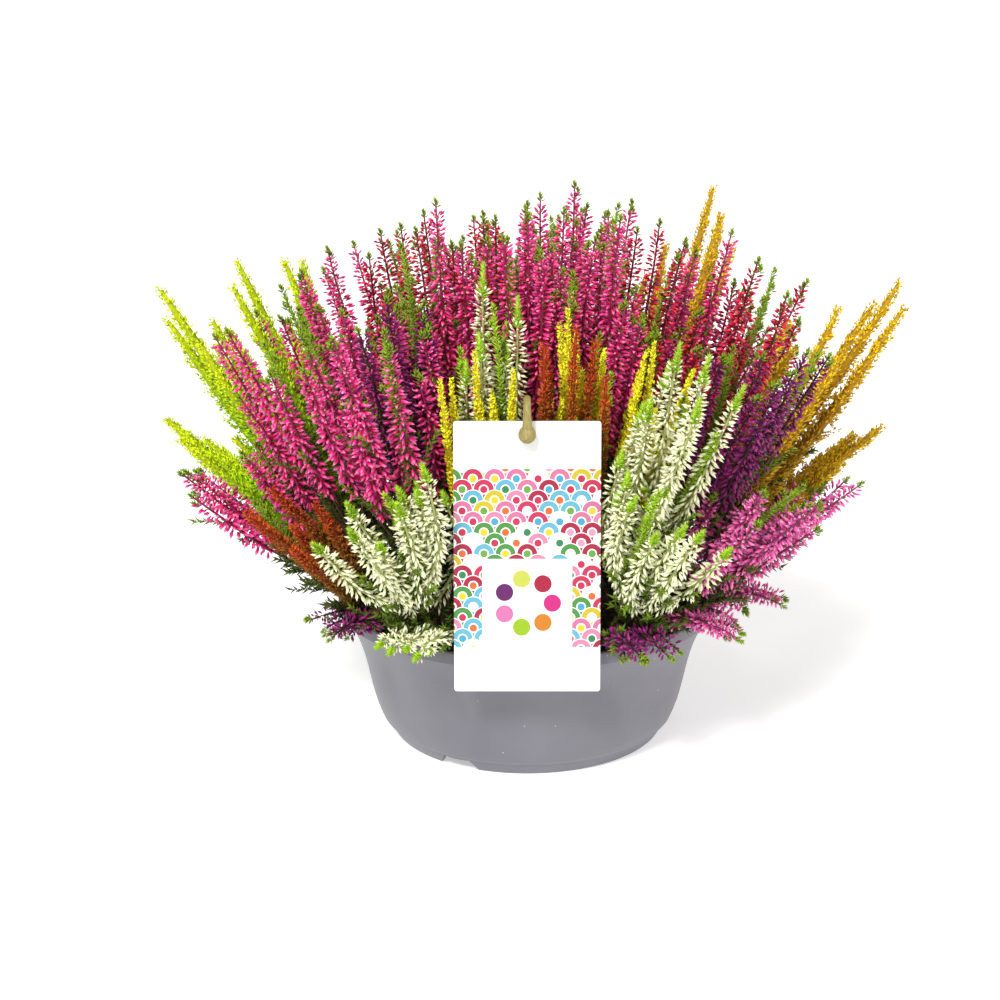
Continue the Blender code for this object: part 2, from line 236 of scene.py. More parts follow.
# Thin heather bark: brown and dry.
BARK = GrainFinish("heather_bark", "#3a2416", "#7a5a3c", 1.5, 0.85)
# Peat potting soil: nearly black, crumbly, with pale fibres. Its loose crumbs have dried paler.
PEAT = GrainFinish("peat_potting_soil", "#1c130d", "#4a3524", 3.0, 0.95, 6.0, (0.40, 0.70), relief=0.8)
CRUMBS = replace(PEAT, name="peat_crumbs", dark="#2a1c12", pale="#6b4e34")
# Turned beech peg: tan, with fine grain along it and a worn satin face.
BEECH = GrainFinish(
    "turned_beech", "#86773f", "#a89a5e", 0.8, 0.5, 4.0, along=0.12, relief=0.2, relief_mm=0.3
)
# Coated card: white board with a soft sheen and a trace of its fibres.
BOARD = GrainFinish("coated_card_white", "#f2f2f0", "#fbfbfa", 1 / 0.9, 0.38, 2.0, (0.30, 0.70))


@dataclass(frozen=True)
class PlasticFinish:
    """Injection-moulded grey polypropylene: satin, with a faint mottle and a few bright specks."""

    name: str = "grey_polypropylene_moulded"
    dark: str = "#696870"
    pale: str = "#717077"
    speck: str = "#c8c6ca"
    mottle_mm: float = 40.0
    grit_mm: float = 0.5
    speck_mm: float = 9.0
    speck_edge: tuple[float, float] = (0.03, 0.05)
    gloss: tuple[float, float] = (0.34, 0.52)
    relief: float = 0.06
    relief_mm: float = 0.2

    def build(self) -> bpy.types.Material:
        """Makes the material from a wide mottle, fine grit and scattered specks."""
        made, tree, shader = new_material(self.name, IOR=1.49)
        spot = add_node(tree, "TexCoord").outputs["Object"]
        mottle, grit = [
            add_node(tree, "TexNoise", {"Vector": spot, "Scale": scale, "Detail": detail}).outputs["Fac"]
            for scale, detail in ((1 / (self.mottle_mm * MM), 4.0), (1 / (self.grit_mm * MM), 2.0))
        ]
        tone = add_node(tree, "ValToRGB", {0: mottle}, stops=((0.35, self.dark), (0.65, self.pale)))
        cells = add_node(tree, "TexVoronoi", {"Vector": spot, "Scale": 1 / (self.speck_mm * MM)})
        low, high = self.speck_edge
        edge = {"From Min": low, "From Max": high, "To Min": 1.0, "To Max": 0.0}
        near = add_node(tree, "MapRange", {"Value": cells.outputs["Distance"], **edge}).outputs["Result"]
        layers = {0: near, 6: tone.outputs["Color"], 7: colour(self.speck)}
        mixed = add_node(tree, "Mix", layers, data_type="RGBA")
        tree.links.new(mixed.outputs[2], shader.inputs["Base Color"])
        satin = {"Value": mottle, "To Min": self.gloss[0], "To Max": self.gloss[1]}
        tree.links.new(add_node(tree, "MapRange", satin).outputs["Result"], shader.inputs["Roughness"])
        depth = {"Height": grit, "Strength": self.relief, "Distance": self.relief_mm * MM}
        tree.links.new(add_node(tree, "Bump", depth).outputs["Normal"], shader.inputs["Normal"])
        return made


def work_out(tree: bpy.types.NodeTree, values: dict[str, Any], steps: Iterable[tuple[Any, ...]]) -> None:
    """Adds the nodes that work out a pattern, one for each step.

    Args:
        tree: The material's node tree.
        values: Sockets by name. Each step adds its own result.
        steps: Name of the result, operation, and the names or numbers that it takes.
    """
    for result, operation, *terms in steps:
        inputs = {at: values.get(term, term) for at, term in enumerate(terms)}
        values[result] = add_node(tree, "Math", inputs, operation=operation).outputs[0]


def equal_shares(hexes: Sequence[str]) -> tuple[tuple[float, str], ...]:
    """Stops that give each colour the same share of a ramp."""
    return tuple((index / len(hexes), code) for index, code in enumerate(hexes))


class PrintFinish:
    """Offset print on coated card: flat colours under a satin coat."""

    name: str
    roughness: float = 0.32

    def build(self) -> bpy.types.Material:
        """Makes the print from the card's own millimetres, kept as its UV map."""
        made, tree, shader = new_material(self.name, Roughness=self.roughness)
        place = add_node(tree, "UVMap", uv_map="card_mm")
        parts = add_node(tree, "SeparateXYZ", {0: place.outputs["UV"]}).outputs
        mask, under, over = self.lay_out(tree, {"x": parts["X"], "y": parts["Y"]})
        mixed = add_node(tree, "Mix", {0: mask, 6: under, 7: over}, data_type="RGBA")
        tree.links.new(mixed.outputs[2], shader.inputs["Base Color"])
        return made

    def lay_out(self, tree: bpy.types.NodeTree, values: dict[str, Any]) -> tuple[Any, Any, Any]:
        """Works out the pattern.

        Args:
            tree: The material's node tree.
            values: Sockets by name, to begin with the place on the card, x and y, in millimetres.

        Returns:
            Where the upper colour shows, the lower colour and the upper colour.
        """
        raise NotImplementedError


@dataclass(frozen=True)
class ScallopFinish(PrintFinish):
    """Rows of overlapping scallops in many colours, each with a white ring and a round heart."""

    name: str = "coated_card_scallop_print"
    scallop_mm: float = 12.0
    heart: float = 0.17
    ring: tuple[float, float] = (0.20, 0.03)
    edge: float = 0.465
    white: str = "#fcfcfa"
    colours: tuple[str, ...] = (
        "#b82a50", "#cc7c9c", "#eeeae6", "#45863c", "#5fa4bc", "#c0ac24", "#9c1a3c", "#c66a90",
    )
    hearts: tuple[str, ...] = (
        "#d2bc28", "#b8244a", "#f2f0ec", "#3f96b8", "#cc602a", "#62983a", "#d490ac", "#2a7a48",
    )

    def lay_out(self, tree: bpy.types.NodeTree, values: dict[str, Any]) -> tuple[Any, Any, Any]:
        """Gives each point to the scallop of its own row, or else to that of the next row up."""
        start = (
            ("across", "DIVIDE", "x", self.scallop_mm),
            ("up", "DIVIDE", "y", self.scallop_mm / 2),
            ("row", "FLOOR", "up"),
            ("above", "SUBTRACT", "up", "row"),
            ("parity", "FLOORED_MODULO", "row", 2.0),
            ("own_shift", "MULTIPLY", "parity", 0.5),
            ("own_rise", "MULTIPLY", "above", 0.5),
            ("next_shift", "SUBTRACT", 0.5, "own_shift"),
            ("below", "SUBTRACT", 1.0, "above"),
            ("next_rise", "MULTIPLY", "below", 0.5),
            ("next_row", "ADD", "row", 1.0),
        )
        work_out(tree, values, start)
        values["own_row"] = values["row"]
        marks = {}
        for which in ("own", "next"):
            rise = which + "_rise"
            distance = (
                ("slid", "ADD", "across", which + "_shift"),
                ("cell", "FLOOR", "slid"),
                ("part", "SUBTRACT", "slid", "cell"),
                ("aside", "SUBTRACT", "part", 0.5),
                ("aside_squared", "MULTIPLY", "aside", "aside"),
                ("rise_squared", "MULTIPLY", rise, rise),
                ("squares", "ADD", "aside_squared", "rise_squared"),
                (which, "SQRT", "squares"),
            )
            work_out(tree, values, distance)
            cell = {0: values["cell"], 1: values[which + "_row"]}
            marks[which] = add_node(tree, "CombineXYZ", cell).outputs[0]
        work_out(tree, values, [("covered", "LESS_THAN", "own", 0.5)])
        far = {0: values["covered"], 2: values["next"], 3: values["own"]}
        values["far"] = add_node(tree, "Mix", far, data_type="FLOAT").outputs[0]
        mark = {0: values["covered"], 4: marks["next"], 5: marks["own"]}
        mark = {"Vector": add_node(tree, "Mix", mark, data_type="VECTOR").outputs[1]}
        tones = []
        for hexes, inputs, size in ((self.colours, mark, "2D"), (self.hearts, {**mark, "W": 3.0}, "4D")):
            chance = add_node(tree, "TexWhiteNoise", inputs, noise_dimensions=size).outputs["Value"]
            tones.append(add_node(tree, "ValToRGB", {0: chance}, stops=equal_shares(hexes), stepped=True))
        masks = (
            ("heart", "LESS_THAN", "far", self.heart),
            ("ring", "COMPARE", "far", *self.ring),
            ("edge", "GREATER_THAN", "far", self.edge),
            ("white", "MAXIMUM", "ring", "edge"),
        )
        work_out(tree, values, masks)
        inside = {0: values["heart"], 6: tones[0].outputs["Color"], 7: tones[1].outputs["Color"]}
        inner = add_node(tree, "Mix", inside, data_type="RGBA").outputs[2]
        return values["white"], inner, colour(self.white)


@dataclass(frozen=True)
class OrnamentFinish(PrintFinish):
    """A plain ring of seven coloured dots on a white panel."""

    name: str = "coated_card_dot_ring_print"
    middle_mm: float = 50.0
    ring_mm: float = 14.0
    dot_mm: float = 4.9
    white: str = "#fbfbfa"
    colours: tuple[str, ...] = ("#bc1a74", "#9c0c36", "#b8bc4c", "#5c0c5c", "#c46a9e", "#8cb010", "#c07414")

    def lay_out(self, tree: bpy.types.NodeTree, values: dict[str, Any]) -> tuple[Any, Any, Any]:
        """Gives each point to the dot whose heading from the ring's middle is nearest."""
        count = len(self.colours)
        steps = (
            ("up", "SUBTRACT", "y", self.middle_mm),
            ("turn", "ARCTAN2", "up", "x"),
            ("turns", "MULTIPLY", "turn", count / math.tau),
            ("step", "ROUND", "turns"),
            ("heading", "MULTIPLY", "step", math.tau / count),
            ("cosine", "COSINE", "heading"),
            ("sine", "SINE", "heading"),
            ("dot_x", "MULTIPLY", "cosine", self.ring_mm),
            ("dot_y", "MULTIPLY", "sine", self.ring_mm),
            ("aside", "SUBTRACT", "x", "dot_x"),
            ("over", "SUBTRACT", "up", "dot_y"),
            ("aside_squared", "MULTIPLY", "aside", "aside"),
            ("over_squared", "MULTIPLY", "over", "over"),
            ("squares", "ADD", "aside_squared", "over_squared"),
            ("far", "SQRT", "squares"),
            ("dot", "LESS_THAN", "far", self.dot_mm),
            ("half_on", "ADD", "step", 0.5),
            ("number", "FLOORED_MODULO", "half_on", float(count)),
            ("which", "DIVIDE", "number", count),
        )
        work_out(tree, values, steps)
        stops = equal_shares(self.colours)
        tone = add_node(tree, "ValToRGB", {0: values["which"]}, stops=stops, stepped=True)
        return values["dot"], colour(self.white), tone.outputs["Color"]


def add_cylinder(bm: bmesh.types.BMesh, radius: float, depth: float, place: Matrix, sides: int = 32) -> None:
    """Adds a capped cylinder about the Z axis of a place.

    Args:
        bm: The shape that it is added to.
        radius: Its radius.
        depth: Its length, half of it on each side of the place.
        place: Where it stands.
        sides: Number of its sides.
    """
    bmesh.ops.create_cone(
        bm, cap_ends=True, segments=sides, radius1=radius, radius2=radius, depth=depth, matrix=place
    )


@dataclass(frozen=True)
class Template:
    """A small shape that is stamped many times: Z from 0 to 1 is its length, X and Y are 1 across."""

    verts: np.ndarray
    faces: np.ndarray

    @staticmethod
    def from_bmesh(bm: bmesh.types.BMesh) -> "Template":
        """Reads the shape out of a bmesh and frees it.

        Args:
            bm: The shape.

        Returns:
            Its vertices and triangles.
        """
        bmesh.ops.triangulate(bm, faces=bm.faces)
        bmesh.ops.recalc_face_normals(bm, faces=bm.faces)
        bm.verts.index_update()
        verts = np.array([vert.co for vert in bm.verts])
        faces = np.array([[vert.index for vert in face.verts] for face in bm.faces])
        bm.free()
        return Template(verts, faces)

    @staticmethod
    def bud() -> "Template":
        """A three-sided pointed bud, widest past its middle and open where it meets its stalk."""
        foot_radius, radius, widest = 0.16, 0.48, 0.56
        bm = bmesh.new()
        bmesh.ops.create_uvsphere(bm, u_segments=3, v_segments=3, radius=1.0)
        foot = [vert for vert in bm.verts if vert.co.z < -0.9]
        bmesh.ops.delete(bm, geom=foot, context="VERTS")
        for vert in bm.verts:
            if vert.co.z > 0.9:
                vert.co = (0, 0, 1.0)
            else:
                low = vert.co.z < 0
                vert.co.xy = vert.co.xy.normalized() * (foot_radius if low else radius)
                vert.co.z = 0.0 if low else widest
        return Template.from_bmesh(bm)

    @staticmethod
    def needle() -> "Template":
        """A three-sided needle leaf, open where it meets its twig."""
        bm = bmesh.new()
        bmesh.ops.create_cone(bm, cap_ends=False, segments=3, radius1=0.5, radius2=0.0, depth=1.0)
        bmesh.ops.remove_doubles(bm, verts=bm.verts, dist=1e-4)
        bmesh.ops.translate(bm, verts=bm.verts, vec=(0, 0, 0.5))
        return Template.from_bmesh(bm)

    @staticmethod
    def scale_leaf() -> "Template":
        """A plump scale leaf: two three-sided cones base to base."""
        radius, widest = 0.5, 0.42
        bm = bmesh.new()
        bmesh.ops.create_uvsphere(bm, u_segments=3, v_segments=2, radius=1.0)
        for vert in bm.verts:
            if abs(vert.co.z) > 0.9:
                vert.co = (0, 0, 0.0 if vert.co.z < 0 else 1.0)
            else:
                vert.co.xy = vert.co.xy.normalized() * radius
                vert.co.z = widest
        return Template.from_bmesh(bm)

    @staticmethod
    def rod(sides: int, cuts: int) -> "Template":
        """A round rod with rings along it, for a stem that is bent along a path."""
        bm = bmesh.new()
        add_cylinder(bm, 1.0, 1.0, Matrix.Translation((0, 0, 0.5)), sides)
        for index in range(1, cuts):
            every = list(bm.verts) + list(bm.edges) + list(bm.faces)
            bmesh.ops.bisect_plane(bm, geom=every, plane_co=(0, 0, index / cuts), plane_no=(0, 0, 1))
        return Template.from_bmesh(bm)


def unit(vectors: np.ndarray) -> np.ndarray:
    """Scales each row of an array to length 1."""
    return vectors / np.maximum(np.linalg.norm(vectors, axis=-1, keepdims=True), 1e-12)


def frames_of(along: np.ndarray) -> tuple[np.ndarray, np.ndarray]:
    """Two unit vectors square to each direction and to each other."""
    start = np.where(np.abs(along[:, :1]) < 0.92, (1.0, 0.0, 0.0), (0.0, 1.0, 0.0))
    across = unit(start - along * np.sum(start * along, axis=1, keepdims=True))
    return across, np.cross(along, across)


def spokes_of(along: np.ndarray, turns: np.ndarray) -> np.ndarray:
    """Unit vectors square to each direction, turned about it."""
    across, beside = frames_of(along)
    return across * np.cos(turns)[:, None] + beside * np.sin(turns)[:, None]


def leaning(along: np.ndarray, spokes: np.ndarray, degrees: np.ndarray) -> np.ndarray:
    """Directions that lean away from a stem, each towards its spoke by its own degrees."""
    lean = np.radians(degrees)[:, None]
    return along * np.cos(lean) + spokes * np.sin(lean)


def strung(
    starts: np.ndarray, ways: np.ndarray, lengths: np.ndarray, count: int
) -> tuple[np.ndarray, np.ndarray, np.ndarray]:
    """Spreads points evenly along some straight twigs.

    Args:
        starts: Where each twig starts.
        ways: Unit direction of each twig.
        lengths: Length of each twig.
        count: Points on a twig.

    Returns:
        Number of each point's twig, its place along that twig, 0 to 1, and the point.
    """
    part = np.tile((np.arange(count) + 0.5) / count, len(starts))
    of = np.repeat(np.arange(len(starts)), count)
    return of, part, starts[of] + ways[of] * (lengths[of] * part)[:, None]


class Greenery:
    """Collects stamped shapes, then makes one mesh object of them."""

    def __init__(self) -> None:
        """Starts empty."""
        self.verts: list[np.ndarray] = []
        self.faces: list[np.ndarray] = []
        self.growth: list[np.ndarray] = []
        self.finish: list[np.ndarray] = []
        self.count = 0

    def add(self, verts: np.ndarray, faces: np.ndarray, growth: np.ndarray, finish: int) -> None:
        """Adds loose geometry.

        Args:
            verts: Places, one a row.
            faces: Triangles, as vertex numbers of this block.
            growth: Chance, place along the shape and place along the spike, for each vertex.
            finish: Number of the finish.
        """
        self.verts.append(verts)
        self.faces.append(faces + self.count)
        self.growth.append(growth)
        self.finish.append(np.full(len(faces), finish))
        self.count += len(verts)

    def stamp(
        self,
        shape: Template,
        origins: np.ndarray,
        ways: np.ndarray,
        lengths: np.ndarray,
        widths: np.ndarray,
        heights: np.ndarray,
        finish: int,
        chance: np.random.RandomState,
    ) -> None:
        """Adds a copy of a shape at each origin.

        Args:
            shape: What is stamped.
            origins: Where each copy starts.
            ways: Unit direction of each copy.
            lengths: Length of each copy.
            widths: Width of each copy.
            heights: Place of each copy along its spike, 0 to 1.
            finish: Number of the finish.
            chance: Source of the turn and the tone of each copy.
        """
        count = len(origins)
        side = spokes_of(ways, chance.uniform(0, math.tau, count))
        axes = np.stack(
            [side * widths[:, None], np.cross(ways, side) * widths[:, None], ways * lengths[:, None]], axis=1
        )
        verts = origins[:, None, :] + np.einsum("vk,nkj->nvj", shape.verts, axes)
        faces = shape.faces[None] + (np.arange(count) * len(shape.verts))[:, None, None]
        growth = np.empty((count, len(shape.verts), 3))
        growth[:, :, 0] = chance.uniform(0, 1, (count, 1))
        growth[:, :, 1] = shape.verts[None, :, 2]
        growth[:, :, 2] = heights[:, None]
        self.add(verts.reshape(-1, 3), faces.reshape(-1, 3), growth.reshape(-1, 3), finish)

    def build(self, name: str, finishes: Sequence[bpy.types.Material]) -> bpy.types.Object:
        """Makes the object.

        Args:
            name: The object's name.
            finishes: Its materials, in the order of their numbers.

        Returns:
            The object, linked to the scene.
        """
        verts = np.concatenate(self.verts)
        faces = np.concatenate(self.faces)
        mesh = bpy.data.meshes.new(name)
        mesh.vertices.add(len(verts))
        mesh.vertices.foreach_set("co", verts.astype(np.float32).ravel())
        mesh.loops.add(faces.size)
        mesh.loops.foreach_set("vertex_index", faces.astype(np.int32).ravel())
        mesh.polygons.add(len(faces))
        mesh.polygons.foreach_set("loop_start", np.arange(len(faces), dtype=np.int32) * 3)
        mesh.update(calc_edges=True)
        mesh.polygons.foreach_set("material_index", np.concatenate(self.finish).astype(np.int32))
        mesh.shade_smooth()
        growth = mesh.attributes.new(GROWTH, "FLOAT_VECTOR", "POINT")
        growth.data.foreach_set("vector", np.concatenate(self.growth).astype(np.float32).ravel())
        for finish in finishes:
            mesh.materials.append(finish)
        made = bpy.data.objects.new(name, mesh)
        bpy.context.scene.collection.objects.link(made)
        return made


@dataclass(frozen=True)
class Fan:
    """The fan of shoots: where each place of the soil sends its shoot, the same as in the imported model.

    Behind the card the shoots lean less, forwards (card_calm) and to the sides (card_gather). Each says by
    what share, and how wide that part of the front is.
    """

    root_circle: float = 0.094
    soil_top: float = 0.076
    side_lean: float = math.radians(53)
    front_lean: float = math.radians(50)
    back_lean: float = math.radians(32)
    lean_power: float = 1.3
    full: float = 0.258
    outer_loss: float = 0.030
    edge_loss: float = 0.075
    front_starts: float = 0.4
    card_calm: tuple[float, float] = (0.98, 0.42)
    card_gather: tuple[float, float] = (0.6, 0.74)
    skirt_bend: tuple[float, float] = (math.radians(35), math.radians(112))

    def lean(self, places: np.ndarray) -> np.ndarray:
        """Horizontal lean, in radians, of the shoots at some places of the root circle."""
        share = np.maximum(np.linalg.norm(places, axis=1), 1e-6)
        way = places / share[:, None]
        fore = np.where(way[:, 1] < 0, self.front_lean, self.back_lean)
        size = (self.side_lean * way[:, 0] ** 2 + fore * way[:, 1] ** 2) * share**self.lean_power
        lean = way * size[:, None]
        near = np.clip(-places[:, 1] / self.front_starts, 0, 1)
        (calm, calm_width), (gather, gather_width) = self.card_calm, self.card_gather
        lean[:, 1] *= 1 - calm * near * np.exp(-((places[:, 0] / calm_width) ** 4))
        lean[:, 0] *= 1 - gather * near * np.exp(-((places[:, 0] / gather_width) ** 2))
        return lean

    def points(self, places: np.ndarray, reach: float, shares: np.ndarray, skirt: bool) -> np.ndarray:
        """Points on the arcs that grow from some places, at shares of their reach.

        Args:
            places: Where each arc grows, in shares of the root circle.
            reach: Length of the arcs.
            shares: Place along them.
            skirt: Whether the shoots bend down over the rim.

        Returns:
            One point a row.
        """
        lean = self.lean(places)
        start = np.maximum(np.linalg.norm(lean, axis=1), 1e-4)
        edge = np.minimum(np.linalg.norm(places, axis=1), 1.0)
        turn = start * (0.5 * edge**4 - 0.5 - 1e-6)
        way = lean / start[:, None]
        if skirt:
            way = unit(places)
            start = np.full(len(places), self.skirt_bend[0])
            turn = np.full(len(places), self.skirt_bend[1] - self.skirt_bend[0])
        out = reach * (np.cos(start) - np.cos(start + turn * shares)) / turn
        rise = reach * (np.sin(start + turn * shares) - np.sin(start)) / turn
        return np.column_stack([places * self.root_circle + way * out[:, None], self.soil_top + 0.001 + rise])

    def reach(self, place: np.ndarray) -> float:
        """Full length of a shoot from a place."""
        share = min(float(np.linalg.norm(place)), 1.0)
        return self.full - self.outer_loss * share**2 - self.edge_loss * share**10


@dataclass(frozen=True)
class Shoot:
    """One shoot of a spray: it bends away from the spray's root to a place beside it, swaying a little."""

    fan: Fan
    place: np.ndarray
    offset: np.ndarray
    reach: float
    first: float
    buds_from: float
    skirt: bool
    sway: float = 0.0
    phase: float = 0.0
    leafy: bool = False

    @property
    def main(self) -> bool:
        """Whether it starts at the root, as the sprig's own stem."""
        return self.first <= 0

    def on_spike(self, places: np.ndarray, end: float = SPIKE_END) -> np.ndarray:
        """Turns places along the spike, 0 to 1, into shares of the whole shoot."""
        return self.buds_from + (end - self.buds_from) * places

    def points(self, shares: np.ndarray) -> np.ndarray:
        """Points along the shoot."""
        away = np.clip((shares - 0.22) / 0.40, 0, 1)
        away = away * away * (3 - 2 * away)
        found = self.fan.points(self.place + self.offset * away[:, None], self.reach, shares, self.skirt)
        size = self.sway * np.clip(shares, 0, 1) ** 2
        found[:, 0] += size * np.sin(5.0 * shares + self.phase)
        found[:, 1] += size * np.sin(4.2 * shares + 2.1 * self.phase)
        return found

    def along(self, shares: np.ndarray) -> np.ndarray:
        """Unit directions along the shoot."""
        step = 0.004
        return unit(self.points(shares + step) - self.points(shares - step))

    def spokes(self, shares: np.ndarray, turns: np.ndarray) -> np.ndarray:
        """Unit vectors square to the shoot, turned about it."""
        return spokes_of(self.along(shares), turns)


@dataclass(frozen=True)
class Spike:
    """How a kind of heather carries its buds: sizes in millimetres, angles in degrees from the stem."""

    gap: float = 0.55
    length: float = 5.5
    width: float = 2.5
    stalk: float = 2.5
    lowest: float = 118.0
    highest: float = 52.0
    rise_power: float = 2.6
    top: float = 0.960


@dataclass(frozen=True)
class Plume:
    """How a kind of heather carries its scale leaves: sizes in millimetres, angles in degrees."""

    leaves: int = 760
    low_radius: float = 7.2
    tip_radius: float = 1.9
    core: float = 0.60
    length: float = 3.0
    width: float = 1.8
    spread: tuple[float, float] = (22.0, 58.0)
    sides: int = 14
    side_length: float = 24.0
    side_leaves: int = 22
    extra_shoots: int = 4


SLIM_SPIKE = Spike()
FULL_SPIKE = Spike(gap=0.50, length=5.8, width=2.0, stalk=2.6, lowest=138.0, highest=46.0, top=0.915)
FEATHER = Plume(low_radius=8.6, tip_radius=2.1, side_length=28.0)
TORCH = Plume(low_radius=6.6)
TASSEL = Plume(640, 4.6, 1.7, 0.42, 3.0, 1.5, (30.0, 72.0), sides=9, side_length=15.0, extra_shoots=3)
CANDLE = Plume(560, 3.8, 0.5, 0.75, 2.4, 1.8, (22.0, 60.0), sides=0, extra_shoots=6)


@dataclass(frozen=True)
class Heather:
    """One kind of heather: its length, how much of a spike is in bud, and its looks."""

    name: str
    reach: float
    buds: float
    habit: Spike | Plume
    leaf: LeafFinish
    bud: LeafFinish


# Needle greens: their very dark low colour is partly painted shade deep in the bush.
GREEN = LeafFinish("heather_needles_green", "#2a3410", "#5c6c18", "#90ae28")
FRESH = LeafFinish("heather_needles_fresh", "#2a3410", "#6a8418", "#acd42c")
OLIVE = LeafFinish("heather_needles_olive", "#2c360c", "#525c12", "#98941c")
# Bud colours: the dark low stop is partly painted shade in the spike's core, and the pale tip stop is partly
# painted highlight.
PINK = BudFinish("pink_heather_buds", "#98103a", "#ee2e86", "#ffa4d2")
CRIMSON = BudFinish("crimson_heather_buds", "#5e0a14", "#c81440", "#f2748e")
CREAM = BudFinish("cream_heather_buds", "#aab83c", "#fafccc", "#ffffea", darkest=0.84, lightest=1.30)
PURPLE = BudFinish("purple_heather_buds", "#34061e", "#741058", "#bc4494")
MAUVE = BudFinish("mauve_heather_buds", "#94285a", "#e458a4", "#ffb4dc")
LIME = LeafFinish("lime_heather_scales", "#4c8410", "#a0cc0c", "#e8fa14")
YELLOW = LeafFinish("yellow_heather_scales", "#8a9010", "#ecd814", "#fff62c")
GOLDEN = LeafFinish("golden_heather_scales", "#787a18", "#cc9814", "#f6ca1c")
RUST = LeafFinish("rust_heather_scales", "#626614", "#8a5c14", "#cc4c18")

HEATHERS = {
    "M": Heather("pink", 1.00, 0.47, SLIM_SPIKE, GREEN, PINK),
    "R": Heather("crimson", 0.98, 0.47, SLIM_SPIKE, GREEN, CRIMSON),
    "W": Heather("cream", 0.93, 0.62, FULL_SPIKE, FRESH, CREAM),
    "V": Heather("purple", 0.90, 0.52, SLIM_SPIKE, GREEN, PURPLE),
    "P": Heather("mauve", 0.95, 0.60, SLIM_SPIKE, GREEN, MAUVE),
    "L": Heather("lime", 1.09, 0.70, FEATHER, GREEN, LIME),
    "Y": Heather("yellow", 0.84, 0.52, CANDLE, GREEN, YELLOW),
    "G": Heather("golden", 1.14, 0.64, TORCH, OLIVE, GOLDEN),
    "O": Heather("rust", 0.86, 0.64, TASSEL, OLIVE, RUST),
}


@dataclass(frozen=True)
class Ring:
    """One ring of sprays, with one letter a slot, from the front round by the right.

    Besides its own shoots a spray has extra ones. Each entry of extras says how far out and how far aside one
    stands, in shares of the root circle. The last of them, as many as leafy says, bear no buds.
    """

    name: str
    share: float
    turn: float
    reach: float
    girth: float
    spikes: int
    spread: float
    slots: str
    leafy: int
    extras: tuple[tuple[float, float], ...]

    @property
    def skirt(self) -> bool:
        """Whether its shoots bend down over the rim."""
        return self.name == "skirt"


RINGS = (
    Ring("middle", 0.13, 0.0, 1.00, 1.0, 2, 0.100, "MMR", 1, (
        (0.09, 0.05), (-0.09, 0.02), (0.02, -0.10), (0.11, -0.06), (-0.04, 0.08), (0.16, 0.0), (0.0, 0.16),
    )),
    Ring("inner", 0.37, 0.0, 1.00, 1.0, 2, 0.120, "MMRMRRM", 2, (
        (0.10, 0.03), (-0.09, -0.03), (-0.06, 0.10), (0.12, -0.08), (0.0, -0.16), (0.0, 0.17), (0.05, -0.09),
    )),
    Ring("second", 0.60, 0.5, 0.96, 1.0, 2, 0.130, "YYRMMMRMMVW", 2, (
        (0.10, 0.00), (-0.09, 0.02), (0.02, 0.10), (0.11, -0.09), (-0.14, -0.07), (0.05, -0.10), (0.07, 0.07),
    )),
    Ring("third", 0.82, 0.5, 1.00, 1.0, 3, 0.115, "OWVGRGMRMLLMMY", 2, (
        (-0.10, 0.05), (0.02, -0.05), (-0.04, -0.10), (-0.12, -0.03), (-0.17, 0.06), (0.0, 0.09),
        (-0.15, -0.09),
    )),
    Ring("outer", 1.00, 0.5, 1.00, 1.0, 3, 0.115, ".WPPGVRMRMLLMOW.", 1, (
        (-0.10, 0.05), (-0.08, -0.06), (-0.02, 0.02), (-0.13, -0.02), (-0.05, 0.11),
    )),
    Ring("skirt", 1.00, 0.0, 0.55, 0.75, 2, 0.120, ".VPP...L..R...VW", 0, (
        (-0.03, 0.06), (-0.05, 0.18), (0.0, 0.02),
    )),
)
# More shoots of the cream sprays that stand beside the card, on the card's side.
BESIDE_CARD = ((-0.05, 0.14), (-0.02, 0.22), (-0.11, 0.18), (-0.15, 0.08))


